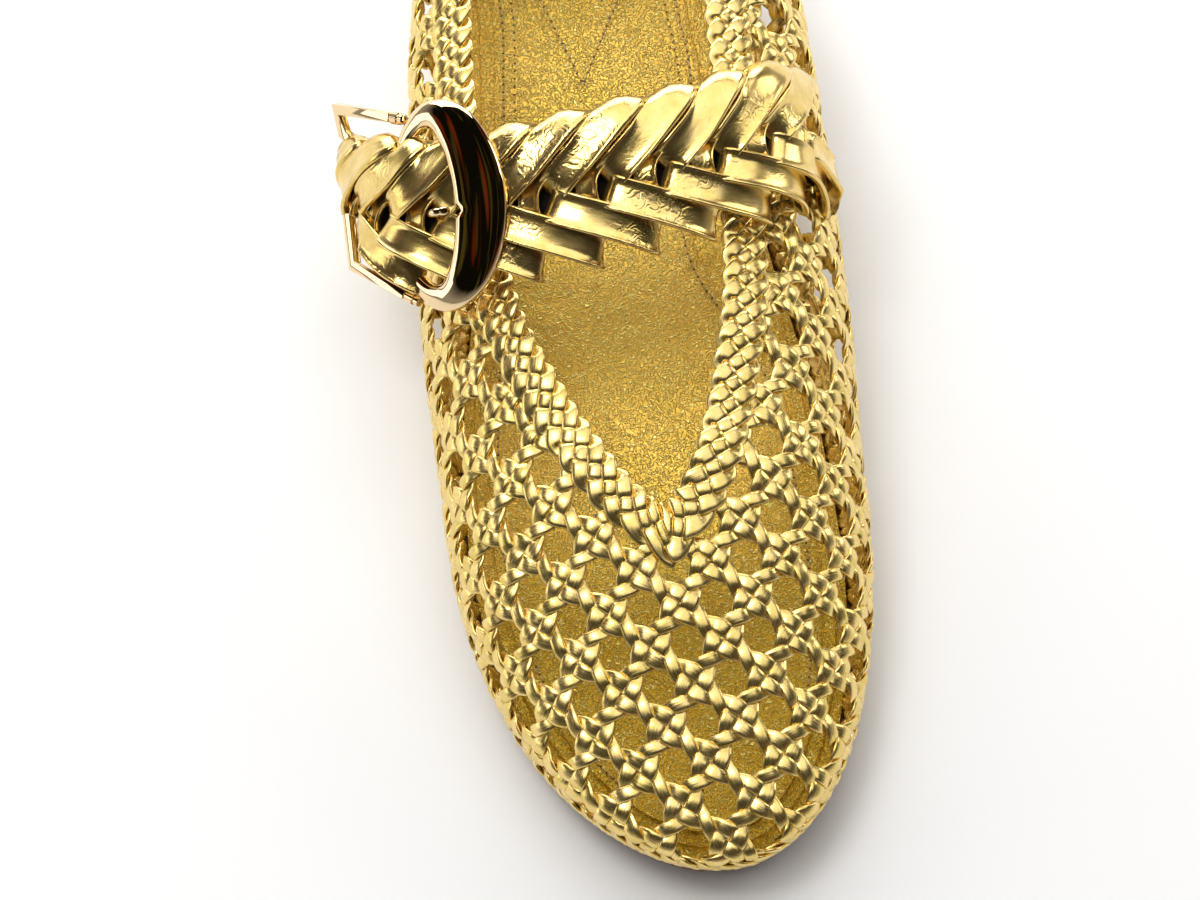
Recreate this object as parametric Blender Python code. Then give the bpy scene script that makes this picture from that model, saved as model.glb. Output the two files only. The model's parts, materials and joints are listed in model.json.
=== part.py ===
"""A right shoe: a low woven-leather ballet flat with a braided strap and an oval buckle.

+Z is up, the toe points to -Y, the shoe's outer (lateral) side is -X and its inner
(medial) side is +X.  The origin is on the ground, under the middle of the heel.

Everything that follows the foot is laid out flat first, as a shoemaker cuts it, and is
then wrapped over the last.  On the flat pattern, x is the distance from the ridge that
runs along the top of the last, and y is the station: the distance from the back of the
heel.  Between the heel's and the ball's centres the last's sections stand square to its
length.  In front of the ball's centre and behind the heel's they turn round it as a fan.
"""

import math

import bmesh
import bpy
import numpy as np
from mathutils import Matrix, Vector

MM = 0.001

# Driving sizes of the last
LENGTH = 253 * MM
HEEL_CENTRE = 36 * MM
BALL_CENTRE = 170 * MM
ORIGIN_STATION = 30 * MM
SEAM_STATION = -15.2 * MM
TOE_SWING = 5 * MM
RIDGE_FALL = 0.24
TOE_ROUNDNESS = {"lateral": 2.0, "medial": 1.92}
HEEL_ROUNDNESS = 2.1

# Half widths at the widest level, and the height of the ridge over the ground (mm)
SIDES = ("station", "lateral", "medial", "ridge")
SIDE_ROWS = (
    (36, 39.0, 41.0, 58.0),
    (65, 43.0, 46.0, 53.0),
    (100, 45.5, 46.5, 51.0),
    (135, 47.0, 46.0, 50.0),
    (170, 46.5, 44.0, 46.0),
)

# Height of the outsole's underside over the ground (mm)
TREAD = ("station", "height")
TREAD_ROWS = (
    (0, 9.0),
    (45, 9.0),
    (75, 7.2),
    (105, 3.6),
    (135, 0.5),
    (150, 0.0),
    (192, 0.0),
    (222, 1.6),
    (253, 6.0),
)

# Height of the widest level over the feather edge, how far each side tucks in under it,
# and how square the section is above it (mm)
WALLS = ("station", "swell", "lateral", "medial", "fullness")
WALL_ROWS = (
    (0, 16.0, 5.0, 5.0, 3.0),
    (36, 18.0, 10.0, 14.0, 2.9),
    (70, 18.0, 12.0, 18.0, 2.7),
    (105, 16.0, 11.0, 15.0, 2.55),
    (140, 13.0, 6.0, 9.0, 2.5),
    (172, 11.0, 3.5, 6.0, 2.35),
    (215, 9.0, 4.0, 5.0, 2.3),
    (253, 8.0, 3.0, 3.0, 2.3),
)

# Distance of the topline from the ridge, on the flat pattern (mm)
TOPLINE = ("station", "lateral", "medial")
TOPLINE_ROWS = (
    (-15.2, 23.0, 23.0),
    (36, 26.5, 24.5),
    (60, 27.5, 23.5),
    (85, 29.0, 22.5),
    (110, 27.5, 21.0),
    (135, 24.0, 18.5),
    (149, 19.0, 15.0),
    (163, 12.7, 10.8),
    (176, 5.2, 5.0),
    (182, 0.0, 0.0),
)

# The weave: half diagonals of its diamonds, its holes, and its wall
WEAVE_COLUMNS = 28
CELL_ACROSS = 8.0 * MM
CELL_ALONG = 8.4 * MM
CELL_STATION = 220 * MM
HOLE_RADIUS = 3.3 * MM
WALL_INSIDE = -1.0 * MM
STRIP_CREST = 1.2 * MM
STRIP_EDGE = 0.6 * MM
WEAVE_LOW = 0.5 * MM
COLLAR_WIDTH = 10.5 * MM
COLLAR_LAP = 2.5 * MM
COLLAR_CREST = 2.1 * MM
COLLAR_EDGE = 1.3 * MM
COLLAR_INSIDE = -1.3 * MM
# The collar's section: parts of its width from the opening, and heights over the last
COLLAR_PROFILE = (
    (0.0, COLLAR_INSIDE),
    (0.0, COLLAR_EDGE),
    (0.3, COLLAR_CREST),
    (0.75, COLLAR_CREST),
    (1.0, COLLAR_EDGE),
    (1.0, COLLAR_INSIDE),
)
THROAT_HALF = math.radians(45)
CUTTER_REACH = 5 * MM
SEAM_WELD = 0.08 * MM
CLOSED_AT_COLLAR = 4.0 * MM
CLOSED_AT_FEATHER = 15.5 * MM
CLOSED_AT_SEAM = 8.0 * MM

# Sole, heel and insole
SOLE_THICKNESS = 3.5 * MM
SOLE_MARGIN = 1.6 * MM
SOLE_CHAMFER = 0.7 * MM
HEEL_BREAST = 62 * MM
HEEL_INSET = 2.0 * MM
HEEL_TAPER = 0.97
SLAB_INSET = 0.004
INSOLE_THICKNESS = 2.2 * MM
INSOLE_CHAMFER = 0.5 * MM
INSOLE_CLEARANCE = 1.9 * MM
GAP = 0.3 * MM

# The strap's centre line: offset from the middle, station and height (mm).  The first
# and last points are worked out from the wall that the strap's ends lie on.
STRAP = ("x", "station", "height")
STRAP_ROWS = (
    (37.0, 104.0, 55.5),
    (20.0, 110.5, 62.0),
    (0.0, 114.0, 64.0),
    (-20.0, 115.0, 61.5),
    (-35.0, 113.5, 57.6),
    (-49.0, 111.2, 54.4),
    (-57.5, 104.6, 47.0),
    (-60.5, 99.5, 36.0),
)
# Where its ends lie on the flat pattern, medial and lateral (mm)
STRAP_ENDS = ("across", "station")
STRAP_END_ROWS = (
    (46.0, 98.0),
    (-60.0, 96.5),
)
STRAP_TILT = math.radians(22)
STRAP_CLEARANCE = 0.2 * MM
STRAP_HALF = 14.0 * MM
STRAP_UNDER = -1.9 * MM
STRAP_LOW = 0.5 * MM
STRAP_DOME = 0.4
CHEVRONS = 11
CHEVRON_SLANT = 12 * MM
# Where in its pitch each line of a chevron lies, its height, and how far it stands out
# of the strap's edge (mm)
CHEVRON_STEPS = (
    (0.05, 0.5, 0.0),
    (0.17, 2.1, 1.0),
    (0.6, 1.5, 1.5),
)
STRAP_HOLE = 1.7 * MM
HOLE_BEHIND_TIP = 1.2 * MM

# The buckle: an oval ring, tipped so that its broad bar lies over the strap and its thin
# bar under it, a prong through the strap, and a wire frame hinged to the ring
RING_HOLE = 7
RING_PAST_HOLE = -0.4 * MM
RING_TO_HEEL = 1.0 * MM
RING_LIFT = 0.46 * MM
RING_TURN = math.radians(30)
RING_LONG = 20.0 * MM
RING_SHORT = 11.5 * MM
RING_SAG = 1.5 * MM
RING = ("angle", "width", "thickness")
RING_ROWS = (
    (0, 11.4, 3.0),
    (50, 8.5, 2.8),
    (90, 4.8, 2.5),
    (140, 3.3, 2.4),
    (180, 3.0, 2.4),
)
FRAME_WIRE = 1.1 * MM
FRAME_RUN = 23.0 * MM
# The frame's toe corner, its bend beside the strap and its heel corner: distance past the
# frame's run, toward the toe and over the strap's centre (mm)
FRAME_ROWS = (
    (0.0, 14.4, -3.5),
    (3.5, -15.5, -3.3),
    (12.3, -22.9, -0.4),
)
HINGE_ANGLE = math.radians(118)
HINGE_LENGTH = 4.0 * MM
HINGE_RADIUS = 1.4 * MM
HINGE_STANDOFF = 3.1 * MM
PRONG_RADIUS = 0.9 * MM
# The prong's centre line: distance past its hole, and height over the strap (mm)
PRONG_ROWS = (
    (8.2, -4.8),
    (3.0, -4.2),
    (0.9, -3.4),
    (0.2, -2.0),
    (0.0, 0.0),
    (0.0, 2.3),
    (-1.4, 3.8),
    (-4.2, 4.3),
)
WIRE_WELD = 0.01 * MM

# Base colour, roughness and metalness
FINISHES = {
    "woven_leather": ((0.62, 0.42, 0.12, 1.0), 0.4, 1.0),
    "insole_leather": ((0.60, 0.39, 0.10, 1.0), 0.4, 1.0),
    "sole_leather": ((0.20, 0.09, 0.04, 1.0), 0.4, 0.0),
    "heel_leather": ((0.16, 0.08, 0.04, 1.0), 0.4, 0.0),
    "strap_leather": ((0.58, 0.42, 0.16, 1.0), 0.4, 1.0),
    "polished_gold": ((0.86, 0.72, 0.48, 1.0), 0.12, 1.0),
}
SHARP_OVER = math.radians(35)


# ---------------------------------------------------------------- tables


def column(names, rows, name, at, level_ends=True):
    """A smooth curve through one column of a table of millimetres, read at stations."""
    x = np.array([row[0] for row in rows], float) * MM
    y = np.array([row[names.index(name)] for row in rows], float) * MM
    at = np.clip(np.asarray(at, float), x[0], x[-1])
    step = np.diff(x)
    rise = np.diff(y) / step
    slope = np.zeros_like(y)
    together = rise[:-1] + rise[1:]
    same_way = rise[:-1] * rise[1:] > 0
    slope[1:-1] = np.where(same_way, 2 * rise[:-1] * rise[1:] / np.where(same_way, together, 1), 0)
    if not level_ends:
        slope[0], slope[-1] = rise[0], rise[-1]
    i = np.clip(np.searchsorted(x, at, side="right") - 1, 0, len(x) - 2)
    t = (at - x[i]) / step[i]
    return (
        (1 + 2 * t) * (1 - t) ** 2 * y[i]
        + t * (1 - t) ** 2 * step[i] * slope[i]
        + t * t * (3 - 2 * t) * y[i + 1]
        + t * t * (t - 1) * step[i] * slope[i + 1]
    )


def per_side(names, rows, side, at):
    """The lateral or the medial column of a table, as each point's side asks."""
    return np.where(
        side < 0,
        column(names, rows, "lateral", at),
        column(names, rows, "medial", at),
    )


def feather_height(station):
    return column(TREAD, TREAD_ROWS, "height", station) + SOLE_THICKNESS


# ---------------------------------------------------------------- the last


def oval_reach(across, along, sine, cosine, roundness):
    """Distance from the centre of an oval to its rim, in a direction."""
    return ((sine / across) ** roundness + (cosine / along) ** roundness) ** (-1 / roundness)


def sections(side, distance_across, station):
    """The half section of the last that each flat point lies on.

    Returns the section's direction, its origin's station, its points outwards from
    the ridge as two arrays, and the distance from the ridge to each of them.
    """
    forward = np.maximum(station - BALL_CENTRE, 0)
    in_toe = station > BALL_CENTRE
    in_heel = station < HEEL_CENTRE
    turn = np.arctan2(distance_across, np.maximum(forward, 1e-9))
    swing = (HEEL_CENTRE - station) / (HEEL_CENTRE - SEAM_STATION) * math.pi / 2
    swing = np.clip(swing, 0, math.pi / 2 * 1.05)
    out_x = np.where(in_toe, np.sin(turn), np.where(in_heel, np.cos(swing), 1))
    out_y = np.where(in_toe, np.cos(turn), np.where(in_heel, -np.sin(swing), 0))
    start = np.clip(station, HEEL_CENTRE, BALL_CENTRE)
    half = per_side(SIDES, SIDE_ROWS, side, start)
    toe_roundness = np.where(side < 0, TOE_ROUNDNESS["lateral"], TOE_ROUNDNESS["medial"])
    sine, cosine = np.abs(out_x), np.abs(out_y)
    toe = oval_reach(half, LENGTH - BALL_CENTRE, sine, cosine, toe_roundness)
    heel = oval_reach(half, HEEL_CENTRE, sine, cosine, HEEL_ROUNDNESS)
    reach = np.where(in_toe, toe, np.where(in_heel, heel, half))[:, None]
    edge = np.clip(start + reach[:, 0] * out_y, 0, LENGTH)
    tuck = per_side(WALLS, WALL_ROWS, side, edge)[:, None]
    power = 2 / (column(WALLS, WALL_ROWS, "fullness", edge)[:, None] / MM)
    base = feather_height(edge)[:, None]
    widest = base + column(WALLS, WALL_ROWS, "swell", edge)[:, None]
    ridge = column(SIDES, SIDE_ROWS, "ridge", start)[:, None]
    quarter = np.linspace(0, math.pi / 2, 40)
    over_x = reach * np.sin(quarter) ** power
    falling = ridge - RIDGE_FALL * over_x * np.where(in_toe, out_y, 0)[:, None]
    over_z = widest + (falling - widest) * np.abs(np.cos(quarter)) ** power
    down = np.linspace(0, 1.5, 13)[1:]
    under_x = reach - tuck * down**2
    under_z = widest - (widest - base) * down
    x = np.concatenate([over_x, under_x], axis=1)
    z = np.concatenate([over_z, under_z], axis=1)
    steps = np.hypot(np.diff(x), np.diff(z))
    run = np.concatenate([np.zeros((len(side), 1)), np.cumsum(steps, axis=1)], axis=1)
    return out_x, out_y, start, x, z, run


def on_surface(across, station):
    """Points of the last for points of the flat pattern."""
    side = np.where(across < 0, -1.0, 1.0)
    distance = np.abs(across)
    in_toe = station > BALL_CENTRE
    from_ridge = np.where(in_toe, np.hypot(across, station - BALL_CENTRE), distance)
    out_x, out_y, start, x, z, run = sections(side, distance, station)
    rows = np.arange(len(side))
    i = np.clip((run < from_ridge[:, None]).sum(axis=1) - 1, 0, run.shape[1] - 2)
    part = (from_ridge - run[rows, i]) / (run[rows, i + 1] - run[rows, i])
    out = x[rows, i] + part * (x[rows, i + 1] - x[rows, i])
    up = z[rows, i] + part * (z[rows, i + 1] - z[rows, i])
    reached = start + out * out_y
    ahead = np.maximum(reached - BALL_CENTRE, 0) / (LENGTH - BALL_CENTRE)
    sideways = side * out * out_x + TOE_SWING * ahead**2
    return np.stack([sideways, ORIGIN_STATION - reached, up], axis=-1)


def on_last(across, station, lift=0.0):
    """Points at a height over the last's surface, for points of the flat pattern."""
    across, station, lift = np.broadcast_arrays(
        np.asarray(across, float), np.asarray(station, float), np.asarray(lift, float)
    )
    step = 0.2 * MM
    back = np.where(station < SEAM_STATION + step, 0, step)
    ahead = on_surface(across, station + step) - on_surface(across, station - back)
    # Each difference stays on its own side of the ridge.
    side = np.where(across < 0, -1.0, 1.0)
    outer = on_surface(across + side * step, station) - on_surface(across, station)
    normal = np.cross(ahead, outer * side[:, None])
    normal /= np.linalg.norm(normal, axis=1)[:, None]
    return on_surface(across, station) + normal * lift[:, None]


def feather_distance(side, station, turn=None):
    """Distance over the last from the ridge to the feather edge."""
    side = np.broadcast_to(np.float64(side), np.shape(station)).copy()
    distance = np.ones_like(side) if turn is None else np.tan(turn)
    station = station if turn is None else np.full(len(side), BALL_CENTRE + 1.0)
    run = sections(side, distance, station)[-1]
    down = np.linspace(0, 1.5, 13)[1:]
    return np.array([np.interp(1, down, row[40:]) for row in run])


# ---------------------------------------------------------------- flat outlines


def topline(side, count=30):
    """The flat pattern's topline from the seam to the throat."""
    station = np.linspace(SEAM_STATION, TOPLINE_ROWS[-1][0] * MM, count)
    name = "lateral" if side < 0 else "medial"
    across = column(TOPLINE, TOPLINE_ROWS, name, station, level_ends=False)
    return np.stack([side * across, station], axis=-1)


def feather_edge(side, count=20, toe_count=13):
    """The flat pattern's lower edge from the seam to the tip of the toe."""
    station = np.linspace(SEAM_STATION, BALL_CENTRE, count)
    leg = feather_distance(side, station)
    turn = np.linspace(math.pi / 2, 0, toe_count)[1:]
    toe = feather_distance(side, turn, turn)
    x = np.concatenate([leg, toe * np.sin(turn)]) * side
    y = np.concatenate([station, BALL_CENTRE + toe * np.cos(turn)])
    return np.stack([x, y], axis=-1)


def square_to(points):
    """The directions at right angles to a line at each of its points."""
    along = np.gradient(points, axis=0)
    along /= np.linalg.norm(along, axis=1)[:, None]
    return np.stack([along[:, 1], -along[:, 0]], axis=-1)


def moved_out(side, distance):
    """The topline moved away from the opening, and which of its points stay on their side."""
    near = topline(side)
    far = near + square_to(near) * side * distance
    far[0] = (near[0, 0] + side * distance, SEAM_STATION)
    far[-1] = (0, near[-1, 1] + distance / math.sin(THROAT_HALF))
    return far, far[:, 0] * side >= 0


def line_outside(distance):
    """A line at a distance outside the topline, from seam to seam."""
    lines = []
    for side in (-1, 1):
        far, on_its_side = moved_out(side, distance)
        lines.append(far[on_its_side])
    return both_sides(*lines)


def both_sides(lateral, medial):
    """A line from the lateral seam round the front to the medial seam."""
    return np.concatenate([lateral, medial[::-1][1:]])


# ---------------------------------------------------------------- meshes


def new_object(name, shape, collection, finish=None):
    """An object from a bmesh, with its own material if it is given a finish."""
    mesh = bpy.data.meshes.new(name)
    shape.normal_update()
    shape.to_mesh(mesh)
    shape.free()
    made = bpy.data.objects.new(name, mesh)
    collection.objects.link(made)
    if finish:
        dress(made, finish)
    return made


def dress(made, finish):
    """Gives an object its material, and smooth shading between its sharp edges."""
    colour, roughness, metalness = FINISHES[finish]
    material = bpy.data.materials.new(made.name)
    material.use_nodes = True
    shader = material.node_tree.nodes["Principled BSDF"]
    shader.inputs["Base Color"].default_value = colour
    shader.inputs["Roughness"].default_value = roughness
    shader.inputs["Metallic"].default_value = metalness
    made.data.materials.append(material)
    made.data.shade_smooth()
    made.data.set_sharp_from_angle(angle=SHARP_OVER)


def prism(points, low, high):
    """A closed solid over a flat outline."""
    shape = bmesh.new()
    corners = [shape.verts.new((x, y, low)) for x, y in points]
    floor = shape.faces.new(corners)
    raised = bmesh.ops.extrude_face_region(shape, geom=[floor])["geom"]
    lifted = [item for item in raised if isinstance(item, bmesh.types.BMVert)]
    bmesh.ops.translate(shape, verts=lifted, vec=(0, 0, high - low))
    bmesh.ops.recalc_face_normals(shape, faces=shape.faces)
    return shape


def loft(rings, closed=False):
    """A closed solid through rings of equal count, capped unless it closes on itself."""
    shape = bmesh.new()
    loops = [[shape.verts.new(point) for point in ring] for ring in rings]
    pairs = list(zip(loops, loops[1:]))
    if closed:
        pairs.append((loops[-1], loops[0]))
    for first, second in pairs:
        for i in range(len(first)):
            j = (i + 1) % len(first)
            shape.faces.new((first[i], first[j], second[j], second[i]))
    if not closed:
        shape.faces.new(loops[0])
        shape.faces.new(loops[-1])
    bmesh.ops.recalc_face_normals(shape, faces=shape.faces)
    return shape


def joined_by(target, tool, operation):
    """Joins, cuts or intersects an object with a tool, and removes the tool."""
    modifier = target.modifiers.new(operation.title(), "BOOLEAN")
    modifier.operation = operation
    modifier.object = tool
    modifier.solver = "EXACT"
    graph = bpy.context.evaluated_depsgraph_get()
    mesh = bpy.data.meshes.new_from_object(target.evaluated_get(graph))
    target.modifiers.clear()
    target.data = mesh
    bpy.data.objects.remove(tool)


def laid_on(made, place):
    """Moves every vertex of an object with a function of arrays of x, y and z."""
    count = len(made.data.vertices)
    points = np.empty(count * 3)
    made.data.vertices.foreach_get("co", points)
    x, y, z = points.reshape(-1, 3).T
    made.data.vertices.foreach_set("co", place(x, y, z).ravel())
    made.data.update()


# ---------------------------------------------------------------- upper


def weave_sheet():
    """The flat weave: a grid of diamonds with raised strips and rounded holes."""
    half = WEAVE_COLUMNS / 2
    segments = 2 * WEAVE_COLUMNS
    grid = bmesh.new()
    bmesh.ops.create_grid(grid, x_segments=segments, y_segments=segments, size=half)
    inner = line_outside(COLLAR_WIDTH + CLOSED_AT_COLLAR)
    turns = np.linspace(0, math.pi / 2, 40)
    toe_reach = {side: feather_distance(side, turns, turns) for side in (-1, 1)}

    def flat(u, v):
        return (u - v) * CELL_ACROSS, CELL_STATION + (u + v - half) * CELL_ALONG

    def is_open(u, v):
        x, y = flat(u, v)
        side = -1 if x < 0 else 1
        if y < SEAM_STATION + CLOSED_AT_SEAM:
            return False
        if y > BALL_CENTRE:
            turn = math.atan2(abs(x), y - BALL_CENTRE)
            room = np.interp(turn, turns, toe_reach[side]) - math.hypot(x, y - BALL_CENTRE)
        else:
            room = feather_distance(side, np.array([y]))[0] - abs(x)
        line = inner[inner[:, 0] * side >= 0]
        line = line[np.argsort(line[:, 1])]
        if y > line[-1, 1]:
            clear = True
        else:
            clear = abs(x) > np.interp(y, line[:, 1], np.abs(line[:, 0]))
        return clear and room > CLOSED_AT_FEATHER

    holes = []
    for vertex in grid.verts:
        u, v = vertex.co.x, vertex.co.y
        is_centre = abs(u % 1 - 0.5) < 0.01 and abs(v % 1 - 0.5) < 0.01
        vertex.co.z = WEAVE_LOW if is_centre else STRIP_CREST
        if is_centre and is_open(u, v):
            holes.append(vertex)
    for centre in holes:
        faces = list(centre.link_faces)
        middle = centre.co.copy()
        bmesh.ops.inset_region(grid, faces=faces, thickness=0.2, use_even_offset=True)
        rim = {vertex for face in faces for vertex in face.verts if vertex is not centre}
        for vertex in rim:
            out = vertex.co - middle
            out.z = 0
            out.normalize()
            across = Vector((out.x - out.y, out.x + out.y)) / math.sqrt(2)
            radius = HOLE_RADIUS / math.hypot(across.x * CELL_ACROSS, across.y * CELL_ALONG)
            radius /= math.sqrt(2)
            vertex.co = middle + out * radius
            vertex.co.z = STRIP_EDGE
        bmesh.ops.delete(grid, geom=faces, context="FACES")
    for vertex in grid.verts:
        vertex.co.x, vertex.co.y = flat(vertex.co.x, vertex.co.y)
    return grid


def thickened(sheet, inside):
    """A flat sheet closed into a slab down to a level."""
    grown = bmesh.ops.extrude_face_region(sheet, geom=list(sheet.faces))["geom"]
    for item in grown:
        if isinstance(item, bmesh.types.BMVert):
            item.co.z = inside
    bmesh.ops.recalc_face_normals(sheet, faces=sheet.faces)
    return sheet


def collar_band():
    """The raised braid round the opening, as a flat strip along the topline."""
    near_lines, far_lines = [], []
    for side in (-1, 1):
        far, on_its_side = moved_out(side, COLLAR_WIDTH)
        near_lines.append(topline(side)[on_its_side])
        far_lines.append(far[on_its_side])
    rings = []
    for near, far in zip(both_sides(*near_lines), both_sides(*far_lines)):
        rings.append([(*(near + (far - near) * part), height) for part, height in COLLAR_PROFILE])
    return loft(rings)


def make_upper(parts):
    """The upper: the flat weave and collar cut, joined, wrapped and closed at the back."""
    upper = new_object("upper", thickened(weave_sheet(), WALL_INSIDE), parts)
    feather = both_sides(feather_edge(-1), feather_edge(1))
    outline = np.concatenate([line_outside(COLLAR_WIDTH - COLLAR_LAP), feather[::-1]])
    cutter = new_object("pattern", prism(outline, -CUTTER_REACH, CUTTER_REACH), parts)
    joined_by(upper, cutter, "INTERSECT")
    band = new_object("collar", collar_band(), parts)
    joined_by(upper, band, "UNION")
    shape = bmesh.new()
    shape.from_mesh(upper.data)
    ends = [f for f in shape.faces if all(abs(v.co.y - SEAM_STATION) < 0.01 * MM for v in f.verts)]
    bmesh.ops.delete(shape, geom=ends, context="FACES")
    shape.to_mesh(upper.data)
    shape.free()

    def lasted(x, y, z):
        points = on_last(x, y, z)
        floor = feather_height(ORIGIN_STATION - points[:, 1]) + GAP
        points[:, 2] = np.maximum(points[:, 2], floor)
        return points

    laid_on(upper, lasted)
    shape = bmesh.new()
    shape.from_mesh(upper.data)
    rim = [vertex for edge in shape.edges if edge.is_boundary for vertex in edge.verts]
    bmesh.ops.remove_doubles(shape, verts=list(set(rim)), dist=SEAM_WELD)
    bmesh.ops.triangulate(shape, faces=shape.faces)
    bmesh.ops.recalc_face_normals(shape, faces=shape.faces)
    shape.to_mesh(upper.data)
    shape.free()
    dress(upper, "woven_leather")
    return upper


# ---------------------------------------------------------------- sole, heel, insole


def feather_points(side, margin):
    """Points of the feather edge on one side, moved out level, from heel to toe."""
    flat = feather_edge(side, count=40, toe_count=28)
    points = on_surface(flat[:, 0] + side * 1e-6, flat[:, 1])[:, :2]
    return points - square_to(points) * side * margin


def sole_slab(margin, low, thickness, chamfer, count):
    """A sole-shaped solid that follows the outsole's underside at a height over it."""
    left, right = (feather_points(side, margin) for side in (-1, 1))
    back = max(left[0, 1], right[0, 1])
    front = min(left[-1, 1], right[-1, 1])
    spread = (1 - np.cos(np.linspace(0, math.pi, count))) / 2
    spread = SLAB_INSET + spread * (1 - 2 * SLAB_INSET)
    rings = []
    for y in back + (front - back) * spread:
        first, last = (np.interp(-y, -edge[:, 1], edge[:, 0]) for edge in (left, right))
        bottom = float(column(TREAD, TREAD_ROWS, "height", ORIGIN_STATION - y)) + low
        top = bottom + thickness
        rings.append(
            (
                (first, y, bottom + chamfer),
                (first + chamfer, y, bottom),
                (last - chamfer, y, bottom),
                (last, y, bottom + chamfer),
                (last, y, top - chamfer),
                (last - chamfer, y, top),
                (first + chamfer, y, top),
                (first, y, top - chamfer),
            )
        )
    return loft(rings)


def make_outsole(parts):
    shape = sole_slab(SOLE_MARGIN, 0, SOLE_THICKNESS, SOLE_CHAMFER, count=26)
    return new_object("outsole", shape, parts, "sole_leather")


def make_insole(parts):
    low = SOLE_THICKNESS + GAP
    shape = sole_slab(-INSOLE_CLEARANCE, low, INSOLE_THICKNESS, INSOLE_CHAMFER, count=22)
    return new_object("insole", shape, parts, "insole_leather")


def make_heel(parts):
    """The low heel: a block from the ground to the outsole, tapered, with a straight breast."""
    sides = []
    for side in (-1, 1):
        points = feather_points(side, SOLE_MARGIN - HEEL_INSET)
        sides.append(points[ORIGIN_STATION - points[:, 1] < HEEL_BREAST])
    rim = np.concatenate([sides[0][::-1], sides[1][1:]])
    tread = column(TREAD, TREAD_ROWS, "height", ORIGIN_STATION - rim[:, 1])
    ground = [(x * HEEL_TAPER, y * HEEL_TAPER, 0) for x, y in rim]
    under_sole = [(x, y, height - GAP) for (x, y), height in zip(rim, tread)]
    shape = loft([ground, under_sole])
    bmesh.ops.triangulate(shape, faces=shape.faces)
    return new_object("heel", shape, parts, "heel_leather")


# ---------------------------------------------------------------- strap


def strap_route():
    """The strap's centre line, and how far along it each of its points is."""
    over_wall = STRIP_CREST + STRAP_CLEARANCE - STRAP_UNDER
    ends = np.array(STRAP_END_ROWS) * MM
    medial, lateral = on_last(ends[:, 0], ends[:, 1], over_wall)
    rows = np.array(STRAP_ROWS) * MM
    middle = np.stack([rows[:, 0], ORIGIN_STATION - rows[:, 1], rows[:, 2]], axis=-1)
    route = np.array([medial, *middle, lateral])
    # A smooth curve through the route's points
    padded = np.concatenate([2 * route[:1] - route[1:2], route, 2 * route[-1:] - route[-2:-1]])
    t = np.linspace(0, 1, 24, endpoint=False)[:, None]
    pieces = []
    for a, b, c, d in zip(padded, padded[1:], padded[2:], padded[3:]):
        bend = (2 * a - 5 * b + 4 * c - d) * t**2 + (3 * b - a - 3 * c + d) * t**3
        pieces.append((2 * b + (c - a) * t + bend) / 2)
    curve = np.concatenate([*pieces, route[-1:]])
    steps = np.linalg.norm(np.diff(curve, axis=0), axis=1)
    return curve, np.concatenate([[0], np.cumsum(steps)])


def strap_frame(run_at):
    """The strap's centre and its directions along, toward the toe and upward."""
    curve, run = strap_route()
    near, ahead, behind = (
        np.stack([np.interp(run_at + step, run, curve[:, axis]) for axis in range(3)], axis=-1)
        for step in (0, MM, -MM)
    )
    along = ahead - behind
    along /= np.linalg.norm(along, axis=1)[:, None]
    # The tilt fades where the strap turns down the shoe's sides.
    tilt = STRAP_TILT * (1 - along[:, 2] ** 2)
    toward_toe = np.stack([np.zeros(len(tilt)), -np.cos(tilt), -np.sin(tilt)], axis=-1)
    toward_toe -= along * np.sum(toward_toe * along, axis=1)[:, None]
    toward_toe /= np.linalg.norm(toward_toe, axis=1)[:, None]
    return near, along, toward_toe, np.cross(along, toward_toe)


def on_strap(run_at, across, lift):
    """Points of the strap from places along it, across it (toe side +) and over it."""
    near, _, toward_toe, up = strap_frame(run_at)
    return near + toward_toe * across[:, None] + up * lift[:, None]


def chevron_pitch():
    return (strap_route()[1][-1] - CHEVRON_SLANT) / CHEVRONS


def strap_hole_run(number):
    """How far along the strap one of the holes between its chevrons is."""
    return number * chevron_pitch() + CHEVRON_SLANT - HOLE_BEHIND_TIP


def strap_slab():
    """The flat braid: overlapping chevrons with scalloped edges, thick end to end."""
    length = strap_route()[1][-1]
    pitch = chevron_pitch()
    lines = (-1.0, -0.5, 0.0, 0.5, 1.0)
    rings = []

    def ring(place, lift, edge, slant=CHEVRON_SLANT):
        top, under = [], []
        for line in lines:
            run = place + slant * (1 - abs(line))
            across = line * (STRAP_HALF + edge)
            domed = 1 - STRAP_DOME * line**2
            top.append((run, across, lift * domed))
            under.append((run, across, STRAP_UNDER * domed))
        return top + under[::-1]

    rings.append(ring(0, STRAP_LOW, 0, slant=0))
    for chevron in range(CHEVRONS):
        for phase, lift, edge in CHEVRON_STEPS:
            rings.append(ring((chevron + phase) * pitch, lift * MM, edge * MM))
    rings.append(ring(length, STRAP_LOW, 0, slant=0))
    return loft(rings)


def make_strap(parts):
    strap = new_object("strap", strap_slab(), parts)
    holes = bmesh.new()
    for chevron in range(CHEVRONS):
        place = Matrix.Translation((strap_hole_run(chevron), 0, 0))
        bmesh.ops.create_cone(
            holes,
            cap_ends=True,
            segments=6,
            radius1=STRAP_HOLE,
            radius2=STRAP_HOLE,
            depth=12 * MM,
            matrix=place,
        )
    cutter = new_object("strap_holes", holes, parts)
    joined_by(strap, cutter, "DIFFERENCE")
    laid_on(strap, on_strap)
    shape = bmesh.new()
    shape.from_mesh(strap.data)
    bmesh.ops.triangulate(shape, faces=shape.faces)
    bmesh.ops.recalc_face_normals(shape, faces=shape.faces)
    shape.to_mesh(strap.data)
    shape.free()
    dress(strap, "strap_leather")
    return strap


# ---------------------------------------------------------------- buckle


def ring_run():
    return strap_hole_run(RING_HOLE) + RING_PAST_HOLE


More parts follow.
